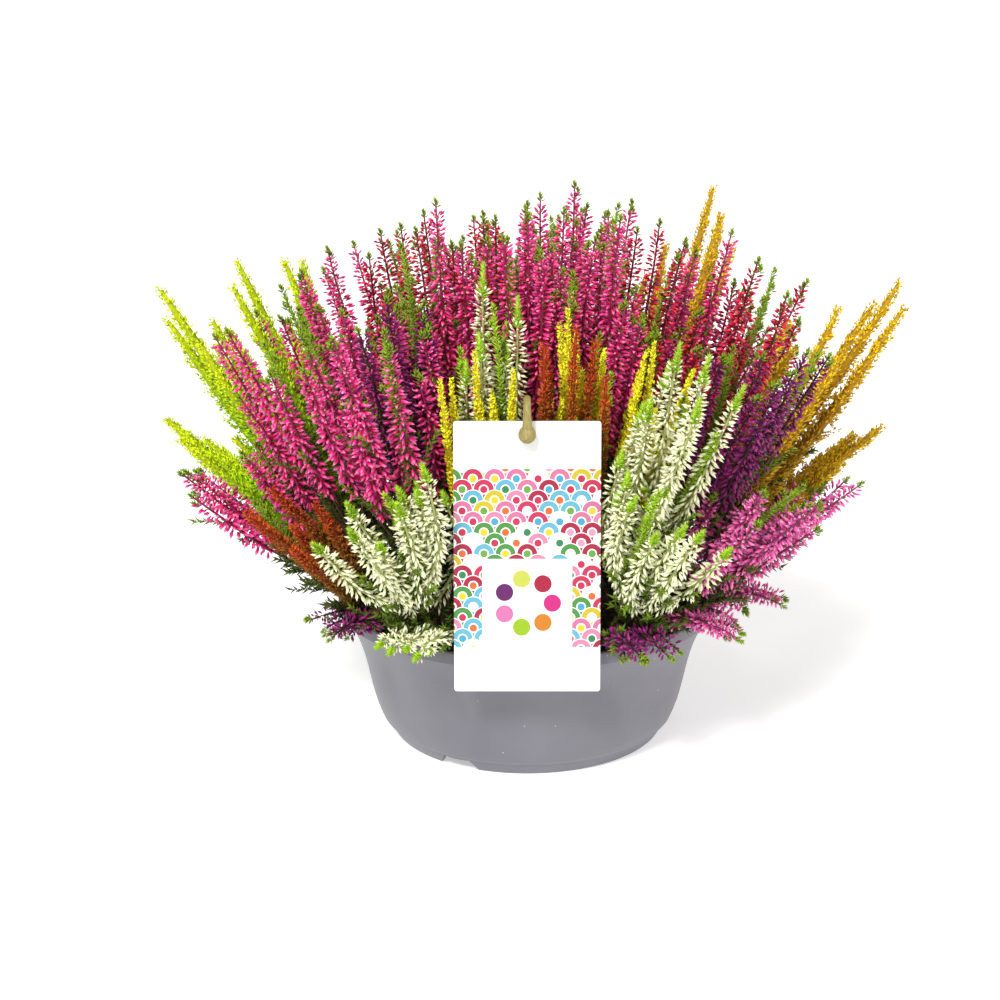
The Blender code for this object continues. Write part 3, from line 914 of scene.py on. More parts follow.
@dataclass
class Spray:
    """One sprig: a woody stem, its spikes and its leafy twigs."""

    name: str
    kind: Heather
    ring: Ring
    shoots: list[Shoot]
    chance: np.random.RandomState
    shapes: dict[str, Template]
    green: Greenery = field(default_factory=Greenery)

    BARK, LEAF, BUD = range(3)
    # Length and width in millimetres.
    BRACT, TIP_NEEDLE, STAR_NEEDLE = (4.0, 1.0), (4.3, 1.3), (3.9, 1.15)
    SHOOT_NEEDLE, TWIG_NEEDLE = (5.8, 1.5), (5.0, 1.8)

    @property
    def rod_up(self) -> np.ndarray:
        """Place of each of the rod's points along it, 0 to 1."""
        return self.shapes["rod"].verts[:, 2]

    @property
    def plumpness(self) -> float:
        """What its girths and its leaves are scaled by: less for the slender sprigs of the skirt."""
        return 0.4 + 0.6 * self.ring.girth

    def build(self, bark: bpy.types.Material, finishes: dict[Any, bpy.types.Material]) -> bpy.types.Object:
        """Builds the whole sprig.

        Args:
            bark: The bark's material.
            finishes: The material of each leaf and bud finish.

        Returns:
            The sprig's object.
        """
        for shoot in self.shoots:
            self.add_stem(shoot)
            self.add_twigs(shoot)
            if shoot.leafy:
                self.add_leaves(shoot)
            elif isinstance(self.kind.habit, Spike):
                self.add_buds(shoot, self.kind.habit)
                self.add_tip(shoot, self.kind.habit)
            else:
                self.add_plume(shoot, self.kind.habit)
        materials = [bark, finishes[self.kind.leaf], finishes[self.kind.bud]]
        return self.green.build(self.name + "_fine", materials)

    def scatter(
        self,
        shape: str,
        origins: np.ndarray,
        ways: np.ndarray,
        size: tuple[float, float],
        heights: np.ndarray,
        finish: int,
        scales: np.ndarray | float = 1.0,
    ) -> None:
        """Stamps a shape with some variation in its size.

        Args:
            shape: The template's name.
            origins: Where each copy starts.
            ways: Direction of each copy.
            size: Length and width in millimetres.
            heights: Place of each copy along its spike.
            finish: Number of the finish.
            scales: What each copy's size is multiplied by.
        """
        factor = self.chance.uniform(0.84, 1.14, len(origins)) * scales * self.plumpness * MM
        length, width = size[0] * factor, size[1] * factor
        self.green.stamp(
            self.shapes[shape], origins, unit(ways), length, width, heights, finish, self.chance
        )

    def add_stem(self, shoot: Shoot, depth: float = 0.05, overlap: float = 0.04) -> None:
        """Adds the bare stem up to the spike; a main stem goes down into the soil."""
        first = -depth if shoot.main else shoot.first
        shares = first + (shoot.buds_from + overlap - first) * self.rod_up
        width = (1.5 if shoot.main else 1.1) * MM * (1.15 - shares)
        self.add_rod(shoot, shares, width, self.BARK)

    def add_rod(self, shoot: Shoot, shares: np.ndarray, width: np.ndarray, finish: int) -> None:
        """Bends a rod along a shoot.

        Args:
            shoot: The shoot.
            shares: Place along the shoot of each of the rod's points.
            width: Radius at each of them.
            finish: Number of the finish.
        """
        rod = self.shapes["rod"]
        across, beside = frames_of(shoot.along(shares))
        out = (across * rod.verts[:, :1] + beside * rod.verts[:, 1:2]) * width[:, None]
        verts = shoot.points(shares) + out
        # A rod takes a fixed low chance and a place at the foot, so a leaf or bud finish paints it dark:
        # painted shade in the shoot's core.
        growth = np.column_stack([np.full(len(verts), 0.2), np.full(len(verts), 0.1), np.clip(shares, 0, 1)])
        self.green.add(verts, rod.faces, growth, finish)

    def add_buds(self, shoot: Shoot, spike: Spike) -> None:
        """Adds the spike of buds: up and out at its top, level or nodding below, with bracts between."""
        up = self.rod_up
        self.add_rod(shoot, shoot.on_spike(up), (1.3 - 0.8 * up) * MM, self.BUD)
        count = int((spike.top - shoot.buds_from) * shoot.reach / (spike.gap * MM))
        place = (np.arange(count) + 0.5) / count
        shares = shoot.on_spike(place, spike.top)
        turns = GOLDEN_TURN * np.arange(count) + self.chance.uniform(0, math.tau)
        spokes = shoot.spokes(shares, turns + self.chance.normal(0, 0.3, count))
        lean = spike.lowest - (spike.lowest - spike.highest) * place**spike.rise_power
        ways = leaning(shoot.along(shares), spokes, lean + self.chance.normal(0, 10, count))
        swell = 0.72 + 0.28 * np.sin(np.pi * np.clip(0.22 + 0.74 * place, 0, 1))
        stalk = spike.stalk * MM * swell * self.chance.uniform(0.2, 1.3, count)
        origins = shoot.points(shares) + spokes * stalk[:, None]
        self.scatter("bud", origins, ways, (spike.length, spike.width), shares, self.BUD, swell)
        bracts = count // 5
        shares = self.chance.uniform(shoot.buds_from, spike.top, bracts)
        spokes = shoot.spokes(shares, self.chance.uniform(0, math.tau, bracts))
        ways = shoot.along(shares) * 0.8 + spokes
        self.scatter("needle", shoot.points(shares), ways, self.BRACT, shares * 0.8, self.LEAF)

    def add_tip(self, shoot: Shoot, spike: Spike, needles: int = 96) -> None:
        """Adds the green tip: a long leafy one on a full spike, a few stars of needles on a slim one."""
        if spike is FULL_SPIKE:
            place = np.linspace(0, 1, needles)
            shares = spike.top - 0.02 + (1.0 - spike.top) * place
            lean = 64 - 34 * place + self.chance.normal(0, 7, needles)
            ways = leaning(shoot.along(shares), shoot.spokes(shares, GOLDEN_TURN * np.arange(needles)), lean)
            heights, sizes = 0.85 + 0.12 * place, 1.15 - 0.5 * place
            self.scatter("needle", shoot.points(shares), ways, self.TIP_NEEDLE, heights, self.LEAF, sizes)
            return
        for tuft in range(1 + int(self.chance.uniform(0, 2.4))):
            share = np.array([0.972 - 0.025 * tuft])
            start = shoot.points(share)[0]
            along = shoot.along(share)[0]
            if tuft:
                spoke = shoot.spokes(share, self.chance.uniform(0, math.tau, 1))[0]
                start = start + (spoke * 2.6 + along * 2.0) * MM
            self.add_star(start, along)

    def add_star(
        self, start: np.ndarray, along: np.ndarray, needles: int = 13, length_mm: float = 3.4
    ) -> None:
        """Adds one star of needles at the end of a spike."""
        place = np.arange(needles) / needles
        spokes = spokes_of(np.tile(along, (needles, 1)), GOLDEN_TURN * np.arange(needles))
        origins = start + along * (place * length_mm * MM)[:, None]
        ways = leaning(along, spokes, 66 - 58 * place)
        self.scatter("scale", origins, ways, self.STAR_NEEDLE, np.full(needles, 0.86), self.LEAF)

    def add_leaves(self, shoot: Shoot, needles: int = 250) -> None:
        """Clads a shoot that bears no buds in green needles up to its tip."""
        up = self.rod_up
        self.add_rod(shoot, shoot.on_spike(up), (0.8 - 0.4 * up) * MM, self.LEAF)
        place = (np.arange(needles) + 0.5) / needles
        shares = shoot.on_spike(place, 0.98)
        lean = 76 - 30 * place + self.chance.normal(0, 8, needles)
        ways = leaning(shoot.along(shares), shoot.spokes(shares, GOLDEN_TURN * np.arange(needles)), lean)
        heights, sizes = 0.5 + 0.5 * place, 1.1 - 0.35 * place
        self.scatter("needle", shoot.points(shares), ways, self.SHOOT_NEEDLE, heights, self.LEAF, sizes)
        for share in (SPIKE_END, 0.94, 0.90):
            spot = np.array([share])
            spoke = shoot.spokes(spot, self.chance.uniform(0, math.tau, 1))[0]
            start = shoot.points(spot)[0] + spoke * (SPIKE_END - share) * 45 * MM
            self.add_star(start, shoot.along(spot)[0])

    def add_plume(self, shoot: Shoot, plume: Plume) -> None:
        """Adds scale leaves all round the spike, and short side shoots clad in the same leaves."""
        slope = plume.low_radius - plume.tip_radius
        place = self.chance.uniform(0, 1, plume.leaves) ** 1.1
        shares = shoot.on_spike(place)
        radius = (plume.tip_radius + slope * (1 - place) ** 0.6) * MM
        self.clad(shoot.points(shares), shoot.along(shares), radius, shares, 1.15 - 0.5 * place, plume)
        up = self.rod_up
        core = (plume.tip_radius + slope * (1 - up) ** 0.6) * plume.core * MM * np.minimum(1, 0.4 + 8 * up)
        self.add_rod(shoot, shoot.on_spike(up, 0.975), core, self.BUD)
        if not plume.sides:
            return
        place = (np.arange(plume.sides) + self.chance.uniform(0, 1, plume.sides)) / plume.sides * 0.86
        shares = shoot.on_spike(place, 0.98)
        spokes = shoot.spokes(shares, GOLDEN_TURN * np.arange(plume.sides))
        ways = leaning(shoot.along(shares), spokes, self.chance.uniform(18, 40, plume.sides))
        lengths = (1.08 - place) * 1.1 * plume.side_length * MM * self.chance.uniform(0.5, 1.1, plume.sides)
        of, part, points = strung(shoot.points(shares), ways, lengths, plume.side_leaves)
        radius, heights = (2.4 - 1.6 * part) * MM, shares[of] + 0.16 * part
        self.clad(points, ways[of], radius, heights, 1.05 - 0.4 * part, plume)

    def clad(
        self,
        points: np.ndarray,
        along: np.ndarray,
        radius: np.ndarray,
        heights: np.ndarray,
        scales: np.ndarray,
        plume: Plume,
    ) -> None:
        """Adds one scale leaf beside each point of a shoot.

        Args:
            points: Points on the shoot's axis.
            along: Direction of the shoot at each.
            radius: How far out the leaves reach at each.
            heights: Place of each along the spike.
            scales: What each leaf's size is multiplied by.
            plume: Size and spread of the leaves.
        """
        count = len(points)
        spokes = spokes_of(along, self.chance.uniform(0, math.tau, count))
        ways = leaning(along, spokes, self.chance.uniform(*plume.spread, count))
        out = radius * np.sqrt(self.chance.uniform(0.2, 0.9, count)) * self.plumpness
        heights = np.clip(heights + self.chance.uniform(-0.08, 0.08, count), 0, 1)
        size = (plume.length, plume.width)
        self.scatter("needle", points + spokes * out[:, None], ways, size, heights, self.BUD, scales)

    def add_twigs(self, shoot: Shoot, leaves: int = 22) -> None:
        """Adds leafy twigs up the lower part of a shoot, more of them on a main one."""
        twigs = 10 if shoot.main else 3
        low, high = 0.06, shoot.buds_from + 0.12
        place = (np.arange(twigs) + self.chance.uniform(0, 1, twigs)) / twigs
        shares = np.maximum(low + (high - low) * place, shoot.first)
        spokes = shoot.spokes(shares, GOLDEN_TURN * np.arange(twigs) + self.chance.uniform(0, math.tau))
        ways = unit(leaning(shoot.along(shares), spokes, self.chance.uniform(20, 46, twigs)))
        lengths = self.chance.uniform(15, 34, twigs) * MM * self.ring.girth**2
        of, part, points = strung(shoot.points(shares), ways, lengths, leaves)
        turns = GOLDEN_TURN * np.arange(len(of)) + self.chance.uniform(-0.4, 0.4, len(of))
        spread = spokes_of(ways[of], turns)
        heights = shares[of] * 0.7 + 0.35 * part
        self.scatter("needle", points, ways[of] + spread * 0.9, self.TWIG_NEEDLE, heights, self.LEAF)


@dataclass
class Planting:
    """The whole fan of sprays."""

    fan: Fan = field(default_factory=Fan)
    seed: int = 7
    def shoots(self, ring: Ring, kind: Heather, place: np.ndarray, draw: random.Random) -> list[Shoot]:
        """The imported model's own shoots of one spray, and the extra ones between them.

        Args:
            ring: The spray's ring.
            kind: Its heather.
            place: Its place in the root circle.
            draw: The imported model's own random draw.

        Returns:
            The spray's shoots, the main one first.
        """
        reach = self.fan.reach(place) * ring.reach * kind.reach * draw.uniform(0.94, 1.04)
        buds_from = 1 - kind.buds
        outward = math.atan2(place[1], place[0])
        extra = random.Random(f"{ring.name} {outward:.3f}")
        first_turn = draw.uniform(-0.3, 0.3)
        plans = [(np.zeros(2), reach, 0.0, buds_from)]
        for index in range(1, ring.spikes):
            beside = (1 if index == 1 else -1) * (-1 if ring.skirt and place[0] < 0 else 1)
            turn = outward + first_turn + beside * math.pi / 2
            offset = np.array([math.cos(turn), math.sin(turn)]) * ring.spread
            plans.append((offset, reach * draw.uniform(0.80, 0.97), 0.20, buds_from + 0.03))
        way = place / max(float(np.linalg.norm(place)), 1e-6)
        side = np.array([-way[1], way[0]])
        own = len(plans)
        mirror = -1 if ring.skirt and place[0] < 0 else 1
        extras = ring.extras
        if ring.name == "outer" and kind.habit is FULL_SPIKE:
            mirror = 1 if place[0] < 0 else -1
            extras = BESIDE_CARD + extras
        leafy = ring.leafy
        if isinstance(kind.habit, Plume):
            extras = extras[: kind.habit.extra_shoots]
            leafy = 0
        for radial, tangent in extras:
            out, aside = radial + extra.uniform(-0.02, 0.02), mirror * tangent + extra.uniform(-0.02, 0.02)
            length = reach * extra.uniform(0.70, 0.97)
            plans.append((way * out + side * aside, length, 0.18, buds_from + 0.02))
        return [
            Shoot(
                self.fan, place, offset, length, first, low, ring.skirt,
                sway=extra.uniform(1.0, 2.5) * MM * (1 if index < own else 2.5),
                phase=extra.uniform(0, 6),
                leafy=index >= len(plans) - leafy,
            )
            for index, (offset, length, first, low) in enumerate(plans)
        ]

    def build(self) -> list[bpy.types.Object]:
        """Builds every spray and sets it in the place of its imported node.

        Returns:
            The sprays' objects.
        """
        shapes = {
            "bud": Template.bud(),
            "needle": Template.needle(),
            "scale": Template.scale_leaf(),
            "rod": Template.rod(5, 9),
        }
        bark = BARK.build()
        wanted = {finish for kind in HEATHERS.values() for finish in (kind.leaf, kind.bud)}
        finishes = {finish: finish.build() for finish in sorted(wanted, key=lambda one: one.name)}
        draw = random.Random(self.seed)
        made = []
        for ring in RINGS:
            for slot, letter in enumerate(ring.slots):
                if letter == ".":
                    continue
                turn = -math.pi / 2 + math.tau * (slot + ring.turn) / len(ring.slots)
                place = np.array([math.cos(turn), math.sin(turn)]) * ring.share
                kind = HEATHERS[letter]
                node = f"spray_{ring.name}_{slot + 1:02d}_{kind.name}"
                chance = np.random.RandomState(self.seed * 1000 + len(made))
                spray = Spray(node, kind, ring, self.shoots(ring, kind, place, draw), chance, shapes)
                piece = spray.build(bark, finishes)
                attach(piece, BODY)
                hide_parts(node)
                made.append(piece)
                LOG.info("%s: %d triangles", piece.name, len(piece.data.polygons))
        return made


def object_from(
    name: str, bm: bmesh.types.BMesh, finishes: Sequence[bpy.types.Material]
) -> bpy.types.Object:
    """Makes a smooth-shaded object from a bmesh, which it frees.

    Args:
        name: The object's name.
        bm: Its shape, in place.
        finishes: Its materials.

    Returns:
        The object, linked to the scene.
    """
    bmesh.ops.recalc_face_normals(bm, faces=bm.faces)
    mesh = bpy.data.meshes.new(name)
    bm.to_mesh(mesh)
    bm.free()
    for finish in finishes:
        mesh.materials.append(finish)
    made = bpy.data.objects.new(name, mesh)
    bpy.context.scene.collection.objects.link(made)
    mesh.shade_smooth()
    mesh.set_sharp_from_angle(angle=SHARP)
    return made


def carve(obj: bpy.types.Object, tools: Sequence[bpy.types.Object]) -> None:
    """Cuts some solids out of an object, applies the cuts and removes the solids.

    Args:
        obj: What is cut.
        tools: The solids that are cut away.
    """
    for tool in tools:
        modifier = obj.modifiers.new(tool.name, "BOOLEAN")
        modifier.operation = "DIFFERENCE"
        modifier.object = tool
    graph = bpy.context.evaluated_depsgraph_get()
    obj.data = bpy.data.meshes.new_from_object(obj.evaluated_get(graph))
    obj.modifiers.clear()
    for tool in tools:
        bpy.data.objects.remove(tool, do_unlink=True)
    obj.data.shade_smooth()
    obj.data.set_sharp_from_angle(angle=SHARP)


@dataclass
class Bowl:
    """The planting bowl, and the soil in it."""

    rim_radius: float = 0.115
    height: float = 0.0856
    rim_band: float = 0.0078
    wall: float = 0.0015
    foot_radius: float = 0.083
    foot_height: float = 0.0072
    foot_width: float = 0.0028
    base_rise: float = 0.004
    base_thickness: float = 0.002
    segments: int = 128
    notch_widths: tuple[float, float] = (0.028, 0.017)
    notch_height: float = 0.0068
    notch_reach: tuple[float, float] = (-0.010, 0.003)
    notch_bottom: float = -0.002
    notch_angles: tuple[int, ...] = (-119, 1, 121)
    drain_holes: int = 6
    drain_radius: float = 0.005
    drain_circle: float = 0.058
    cutter_depth: float = 0.01
    soil_top: float = 0.076
    soil_clear: float = 0.0004
    soil_roughness: tuple[float, float] = (-0.0016, 0.0012)
    floor_corner: float = 0.0015
    # Points of the rounded edges: out from the foot's or the rim's radius, up from the level of the edge.
    foot_edge: tuple[tuple[float, float], ...] = ((-0.0004, 0.0), (0.0, 0.0004))
    foot_top: tuple[tuple[float, float], ...] = ((0.0036, -0.0004), (0.0038, 0.0), (0.0043, 0.0005))
    rim_edge: tuple[tuple[float, float], ...] = ((-0.0004, 0.0001), (0.0, 0.0005))
    rim_top: tuple[tuple[float, float], ...] = (
        (0.0, -0.0012), (-0.0002, -0.0005), (-0.0007, 0.0), (-0.0024, 0.0), (-0.0030, -0.0006),
    )
    # Radius and height of points up the wall.
    outline: tuple[tuple[float, float], ...] = (
        (0.0898, 0.0098), (0.0922, 0.0160), (0.0988, 0.0420), (0.1022, 0.0560),
        (0.1062, 0.0660), (0.1112, 0.0745), (0.1126, 0.0776),
    )

    def smooth_wall(self, inset: float, steps: int = 14) -> list[tuple[float, float]]:
        """The wall as a smooth curve through its outline's points, moved inwards.

        Args:
            inset: How far inwards.
            steps: Number of points.

        Returns:
            Radius and height of each point, upwards.
        """
        radii, heights = np.array(self.outline).T
        fit = np.polyfit(heights, radii, 4)
        levels = np.linspace(heights[0], heights[-1], steps)
        return [(float(np.polyval(fit, level)) - inset, float(level)) for level in levels]

    def turned(self, outline: Iterable[tuple[float, float]]) -> bmesh.types.BMesh:
        """A shape of revolution from an outline that starts and ends on the axis."""
        bm = bmesh.new()
        points = [bm.verts.new((radius, 0.0, height)) for radius, height in outline]
        edges = [bm.edges.new(pair) for pair in zip(points, points[1:])]
        turning = {"cent": (0, 0, 0), "axis": (0, 0, 1), "angle": math.tau, "steps": self.segments}
        bmesh.ops.spin(bm, geom=points + edges, use_merge=True, **turning)
        bmesh.ops.remove_doubles(bm, verts=bm.verts, dist=1e-6)
        return bm

    def build(self) -> bpy.types.Object:
        """Turns the bowl, rounds its rim and cuts its notches and drain holes."""
        inner = self.foot_radius - self.foot_width
        floor = self.base_rise + self.base_thickness
        edges = (
            (self.foot_radius, 0.0, self.foot_edge),
            (self.foot_radius, self.foot_height, self.foot_top),
            (self.rim_radius, self.height - self.rim_band, self.rim_edge),
            (self.rim_radius, self.height, self.rim_top),
        )
        low, high, under, top = [
            [(radius + out, level + up) for out, up in points] for radius, level, points in edges
        ]
        foot = [(0.0, self.base_rise), (inner, self.base_rise), (inner, 0.0)] + low + high
        inside = list(reversed(self.smooth_wall(self.wall)[2:]))
        inside += [(self.foot_radius + self.floor_corner, floor), (0.0, floor)]
        profile = foot + self.smooth_wall(0.0) + under + top + inside
        bowl = object_from("bowl_fine", self.turned(profile), [PlasticFinish().build()])
        carve(bowl, [self.notches(), self.drains()])
        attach(bowl, BODY)
        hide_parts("bowl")
        LOG.info("bowl: %d faces", len(bowl.data.polygons))
        return bowl

    def notches(self) -> bpy.types.Object:
        """Cutters of the drainage notches in the foot ring."""
        bm = bmesh.new()
        wide, narrow = self.notch_widths
        for degrees in self.notch_angles:
            block = bmesh.ops.create_cube(bm, size=1.0)["verts"]
            for vert in block:
                width = narrow if vert.co.z > 0 else wide
                out = self.foot_radius + self.notch_reach[vert.co.x > 0]
                level = self.notch_height if vert.co.z > 0 else self.notch_bottom
                vert.co = (out, math.copysign(width / 2, vert.co.y), level)
            bmesh.ops.rotate(bm, verts=block, matrix=Matrix.Rotation(math.radians(degrees), 3, "Z"))
        return object_from("notches", bm, [])

    def drains(self) -> bpy.types.Object:
        """Cutters of the drain holes in the floor."""
        bm = bmesh.new()
        for index in range(self.drain_holes):
            turn = math.tau * (index + 0.5) / self.drain_holes
            level = self.base_rise + self.base_thickness / 2
            place = (self.drain_circle * math.cos(turn), self.drain_circle * math.sin(turn), level)
            add_cylinder(bm, self.drain_radius, self.cutter_depth, Matrix.Translation(place))
        return object_from("drains", bm, [])

    def build_soil(self, rings: int = 14, crumbs: int = 300) -> bpy.types.Object:
        """Turns the soil, roughens its top and strews crumbs on it."""
        clear = self.soil_clear
        bottom = self.base_rise + self.base_thickness + clear
        corner = (self.foot_radius + self.floor_corner - clear, bottom)
        inside = self.smooth_wall(self.wall + clear)[2:]
        wall = [corner] + [point for point in inside if point[1] < self.soil_top - 0.002]
        edge = wall[-1][0]
        level = self.soil_top - 0.0015
        top = [(edge * (1 - ring / rings), level) for ring in range(1, rings)]
        bm = self.turned([(0.0, bottom)] + wall + top + [(0.0, level)])
        draw = random.Random(11)
        for vert in bm.verts:
            if vert.co.z > self.soil_top - 0.003 and vert.co.xy.length < edge * 0.98:
                vert.co.z += draw.uniform(*self.soil_roughness)
        soil = object_from("soil_fill", bm, [PEAT.build()])
        grit = bmesh.new()
        bmesh.ops.create_icosphere(grit, subdivisions=1, radius=0.5)
        bmesh.ops.translate(grit, verts=grit.verts, vec=(0, 0, 0.5))
        shape = Template.from_bmesh(grit)
        chance = np.random.RandomState(12)
        out = edge * 0.97 * np.sqrt(chance.uniform(0, 1, crumbs))
        turn = chance.uniform(0, math.tau, crumbs)
        heights = np.full(crumbs, self.soil_top - 0.002)
        origins = np.column_stack([out * np.cos(turn), out * np.sin(turn), heights])
        ways = unit(chance.normal(0, 1, (crumbs, 3)) * (1, 1, 0.4) + (0, 0, 0.8))
        sizes = chance.uniform(1.2, 3.6, crumbs) * MM
        heap = Greenery()
        heap.stamp(shape, origins, ways, sizes, sizes * 0.8, np.zeros(crumbs), 0, chance)
        crumb = heap.build("soil_crumbs", [CRUMBS.build()])
        for piece in (soil, crumb):
            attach(piece, BODY)
        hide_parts("soil")
        LOG.info("soil: %d faces and %d crumbs", len(soil.data.polygons), crumbs)
        return soil


@dataclass
class PictureCard:
    """The card and the hooked stake that it hangs on."""

    width: float = 0.0815
    height: float = 0.152
    thickness: float = 0.0008
    foot: tuple[float, float, float] = (0.0, -0.124, 0.0694)
    tilt: float = math.radians(9.1)
    corner: float = 0.0015
    hole_drop: float = 0.006
    hole_radius: float = 0.0022
    punch_depth: float = 0.01
    print_low: float = 0.0252
    print_high: float = 0.1255
    panel_width: float = 0.0500
    panel_high: float = 0.0751
    stake_radius: float = 0.0021
    stake_root: float = -0.0940
    stake_rise: float = 0.0125
    knob_radius: float = 0.0050
    pin_radius: float = 0.0017
    swell_length: float = 0.016
    swell_share: float = 0.35
    soil_top: float = 0.076
    root_depth: float = 0.015

    BOARD, PRINT, ORNAMENT = range(3)

    def frame(self) -> Matrix:
        """Turns the card's own X, Y (through it) and Z (up it) to its place."""
        return Matrix.Translation(self.foot) @ Matrix.Rotation(-self.tilt, 4, "X")

    def build(self) -> bpy.types.Object:
        """Builds the card: a rounded sheet with its hole, its front cut along the edges of the print.

        Returns:
            The card's object.
        """
        bm = bmesh.new()
        bmesh.ops.create_cube(bm, size=1.0)
        for vert in bm.verts:
            vert.co = (vert.co.x * self.width, vert.co.y * self.thickness, (vert.co.z + 0.5) * self.height)
        half = self.thickness / 2
        corners = [edge for edge in bm.edges if abs(edge.verts[0].co.y - edge.verts[1].co.y) > half]
        rounding = {"affect": "EDGES", "offset": self.corner, "segments": 6, "profile": 0.5, "material": -1}
        bmesh.ops.bevel(bm, geom=corners, **rounding)
        heights = (self.print_low, self.panel_high, self.print_high)
        levels = [((0, 0, height), (0, 0, 1)) for height in heights]
        sides = [((side * self.panel_width / 2, 0, 0), (1, 0, 0)) for side in (-1, 1)]
        for place, normal in levels + sides:
            every = list(bm.verts) + list(bm.edges) + list(bm.faces)
            bmesh.ops.bisect_plane(bm, geom=every, plane_co=place, plane_no=normal)
        layer = bm.loops.layers.uv.new("card_mm")
        for face in bm.faces:
            middle = face.calc_center_median()
            front = face.normal.y < -0.9
            panel = abs(middle.x) < self.panel_width / 2 and middle.z < self.panel_high
            if front and panel and middle.z > self.print_low:
                face.material_index = self.ORNAMENT
            elif front and not panel and self.print_low < middle.z < self.print_high:
                face.material_index = self.PRINT
            for loop in face.loops:
                loop[layer].uv = (loop.vert.co.x / MM, loop.vert.co.z / MM)
        bmesh.ops.transform(bm, matrix=self.frame(), verts=bm.verts)
        middle_mm = (self.print_low + self.panel_high) / 2 / MM
        finishes = [BOARD.build(), ScallopFinish().build(), OrnamentFinish(middle_mm=middle_mm).build()]
        card = object_from("card_fine", bm, finishes)
        punch = bmesh.new()
        place = self.frame() @ Matrix.Translation((0, 0, self.height - self.hole_drop))
        place = place @ Matrix.Rotation(math.pi / 2, 4, "X")
        add_cylinder(punch, self.hole_radius, self.punch_depth, place)
        carve(card, [object_from("punch", punch, [])])
        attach(card, BODY)
        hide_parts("card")
        LOG.info("card: %d faces", len(card.data.polygons))
        return card

    def build_stake(self) -> bpy.types.Object:
        """Bends the stake over the card's top edge and ends it in a knob, with the pin that holds the card.

        Returns:
            The stake's object.
        """
        hole = self.frame() @ Vector((0, 0, self.height - self.hole_drop))
        knob = hole + Vector((0, -self.knob_radius - self.thickness, 0))
        bend = (self.stake_root - knob.y) / 2
        centre = Vector((0, knob.y + bend, hole.z + self.hole_drop + self.stake_rise - bend))
        turns = np.linspace(0, math.pi, 25)
        arc = [centre + Vector((0, math.cos(turn), math.sin(turn))) * bend for turn in turns]
        route = [Vector((0, self.stake_root, self.soil_top - self.root_depth))] + arc + [knob]
        lengths = np.cumsum([0.0] + [(b - a).length for a, b in zip(route, route[1:])])
        rod = Template.rod(20, 60)
        steps = rod.verts[:, 2] * lengths[-1]
        line = np.array(route)
        centres, ahead, behind = [
            np.column_stack([np.interp(steps + shift, lengths, line[:, axis]) for axis in range(3)])
            for shift in (0.0, 1e-4, -1e-4)
        ]
        across, beside = frames_of(unit(ahead - behind))
        near_end = np.clip((steps - lengths[-1] + self.swell_length) / self.swell_length, 0, 1)
        swell = self.stake_radius * (1 + self.swell_share * near_end)
        verts = centres + (across * rod.verts[:, :1] + beside * rod.verts[:, 1:2]) * swell[:, None]
        stake = Greenery()
        stake.add(verts, rod.faces, np.zeros((len(verts), 3)), 0)
        ball = bmesh.new()
        bmesh.ops.create_uvsphere(ball, u_segments=32, v_segments=20, radius=self.knob_radius)
        bmesh.ops.translate(ball, verts=ball.verts, vec=knob)
        pin = bmesh.new()
        place = Matrix.Translation(hole) @ Matrix.Rotation(math.pi / 2 - self.tilt, 4, "X")
        add_cylinder(pin, self.pin_radius, 2 * self.knob_radius, place, 20)
        for bm in (ball, pin):
            shape = Template.from_bmesh(bm)
            stake.add(shape.verts, shape.faces, np.zeros((len(shape.verts), 3)), 0)
        made = stake.build("stake_fine", [BEECH.build()])
        made.data.set_sharp_from_angle(angle=math.radians(50))
        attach(made, BODY)
        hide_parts("stake")
        LOG.info("stake: %d faces", len(made.data.polygons))
        return made


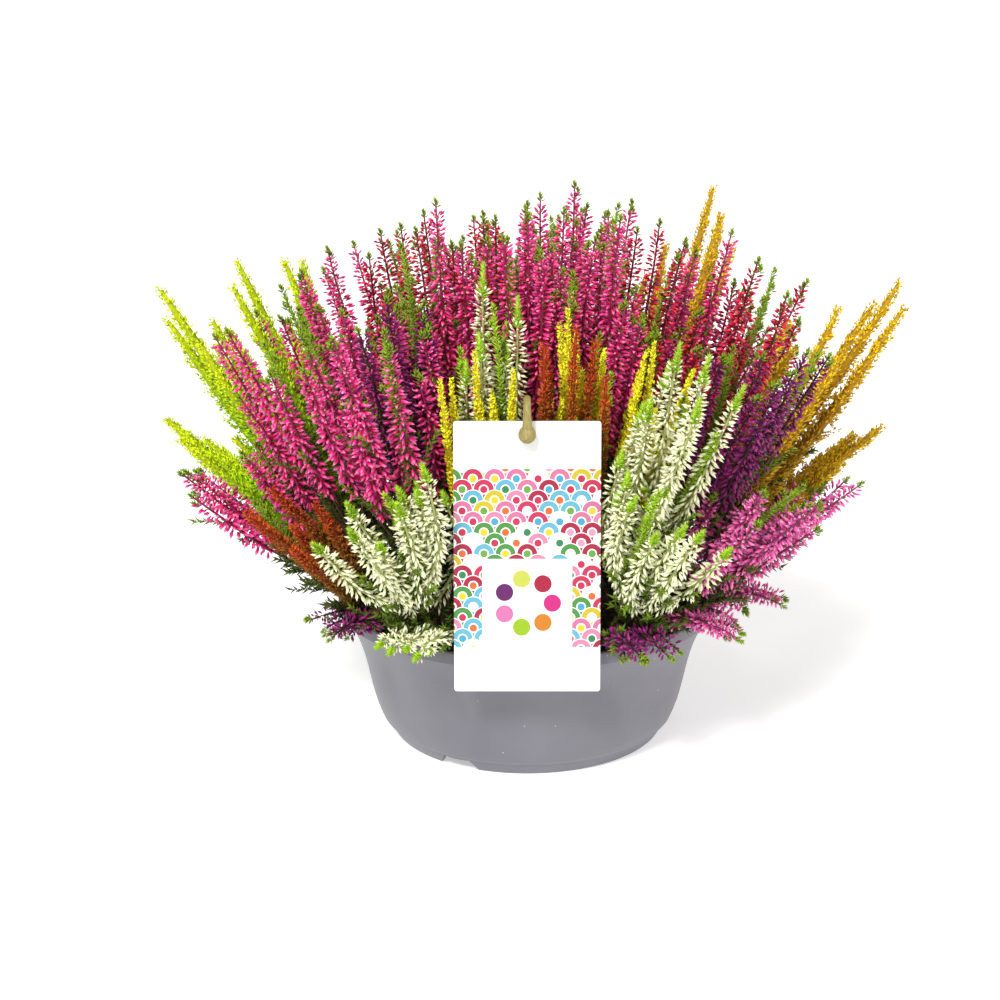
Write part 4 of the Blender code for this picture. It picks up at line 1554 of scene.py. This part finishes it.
@dataclass
class Studio:
    """Camera, lights and floor. Headings are degrees round from the front, heights degrees up."""

    elevation: float = 17.2
    distance: float = 1.3
    target: tuple[float, float, float] = (0.0, 0.0, 0.15)
    lens: float = 77.5
    sensor: float = 36.0
    shift: tuple[float, float] = (-0.0272, -0.0120)
    floor_size: float = 100.0
    floor_drop: float = 0.0005
    floor_glow: float = 0.42
    world_strength: float = 0.48
    # Name, heading, height, angle across and strength of each sun.
    suns: tuple[tuple[str, float, float, float, float], ...] = (
        ("key", -24.0, 46.0, 14.0, 2.8), ("fill", 50.0, 24.0, 40.0, 0.5), ("edge", 98.0, 12.0, 40.0, 0.6),
    )

    def build(self) -> None:
        """Builds the studio."""
        self.camera()
        self.floor()
        self.lights()

    def hang(
        self, name: str, data: bpy.types.ID, heading: float, height: float, distance: float, target: Vector
    ) -> bpy.types.Object:
        """Hangs a camera or a light, looking at a target.

        Args:
            name: The object's name.
            data: The camera or the light.
            heading: Degrees round from the front.
            height: Degrees up.
            distance: How far from the target.
            target: What it looks at.

        Returns:
            The object, linked to the scene.
        """
        turn, rise = math.radians(heading), math.radians(height)
        away = Vector((math.sin(turn) * math.cos(rise), -math.cos(turn) * math.cos(rise), math.sin(rise)))
        made = bpy.data.objects.new(name, data)
        made.location = target + away * distance
        made.rotation_euler = away.to_track_quat("Z", "Y").to_euler()
        bpy.context.scene.collection.objects.link(made)
        return made

    def camera(self) -> None:
        """Sets the camera at the photograph's angle."""
        data = bpy.data.cameras.new("camera")
        data.lens = self.lens
        data.sensor_width = self.sensor
        data.shift_x, data.shift_y = self.shift
        camera = self.hang("camera", data, 0.0, self.elevation, self.distance, Vector(self.target))
        bpy.context.scene.camera = camera

    def floor(self) -> None:
        """Lays the pale floor."""
        bm = bmesh.new()
        bmesh.ops.create_grid(bm, x_segments=1, y_segments=1, size=self.floor_size)
        bmesh.ops.translate(bm, verts=bm.verts, vec=(0, 0, -self.floor_drop))
        made, _, shader = new_material("pale_floor", Roughness=0.9, Emission_Strength=self.floor_glow)
        shader.inputs["Base Color"].default_value = colour("#f4f4f4")
        shader.inputs["Emission Color"].default_value = colour("#ffffff")
        object_from("floor", bm, [made])

    def lights(self) -> None:
        """Hangs the soft suns, and lights the world."""
        world = bpy.data.worlds.new("studio")
        world.use_nodes = True
        background = world.node_tree.nodes["Background"].inputs
        background["Color"].default_value = (1.0, 1.0, 1.0, 1.0)
        background["Strength"].default_value = self.world_strength
        bpy.context.scene.world = world
        for name, heading, height, angle, strength in self.suns:
            data = bpy.data.lights.new(name, "SUN")
            data.angle = math.radians(angle)
            data.energy = strength
            self.hang(name, data, heading, height, 2.0, Vector())
        bpy.context.scene.view_settings.view_transform = "Standard"


def main() -> None:
    """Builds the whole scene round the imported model."""
    logging.basicConfig(level=logging.INFO, format="%(message)s")
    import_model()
    Studio().build()
    bowl = Bowl()
    bowl.build()
    bowl.build_soil()
    card = PictureCard()
    card.build()
    card.build_stake()
    pieces = Planting().build()
    LOG.info("heather: %d triangles", sum(len(piece.data.polygons) for piece in pieces))


if __name__ == "__main__":
    main()
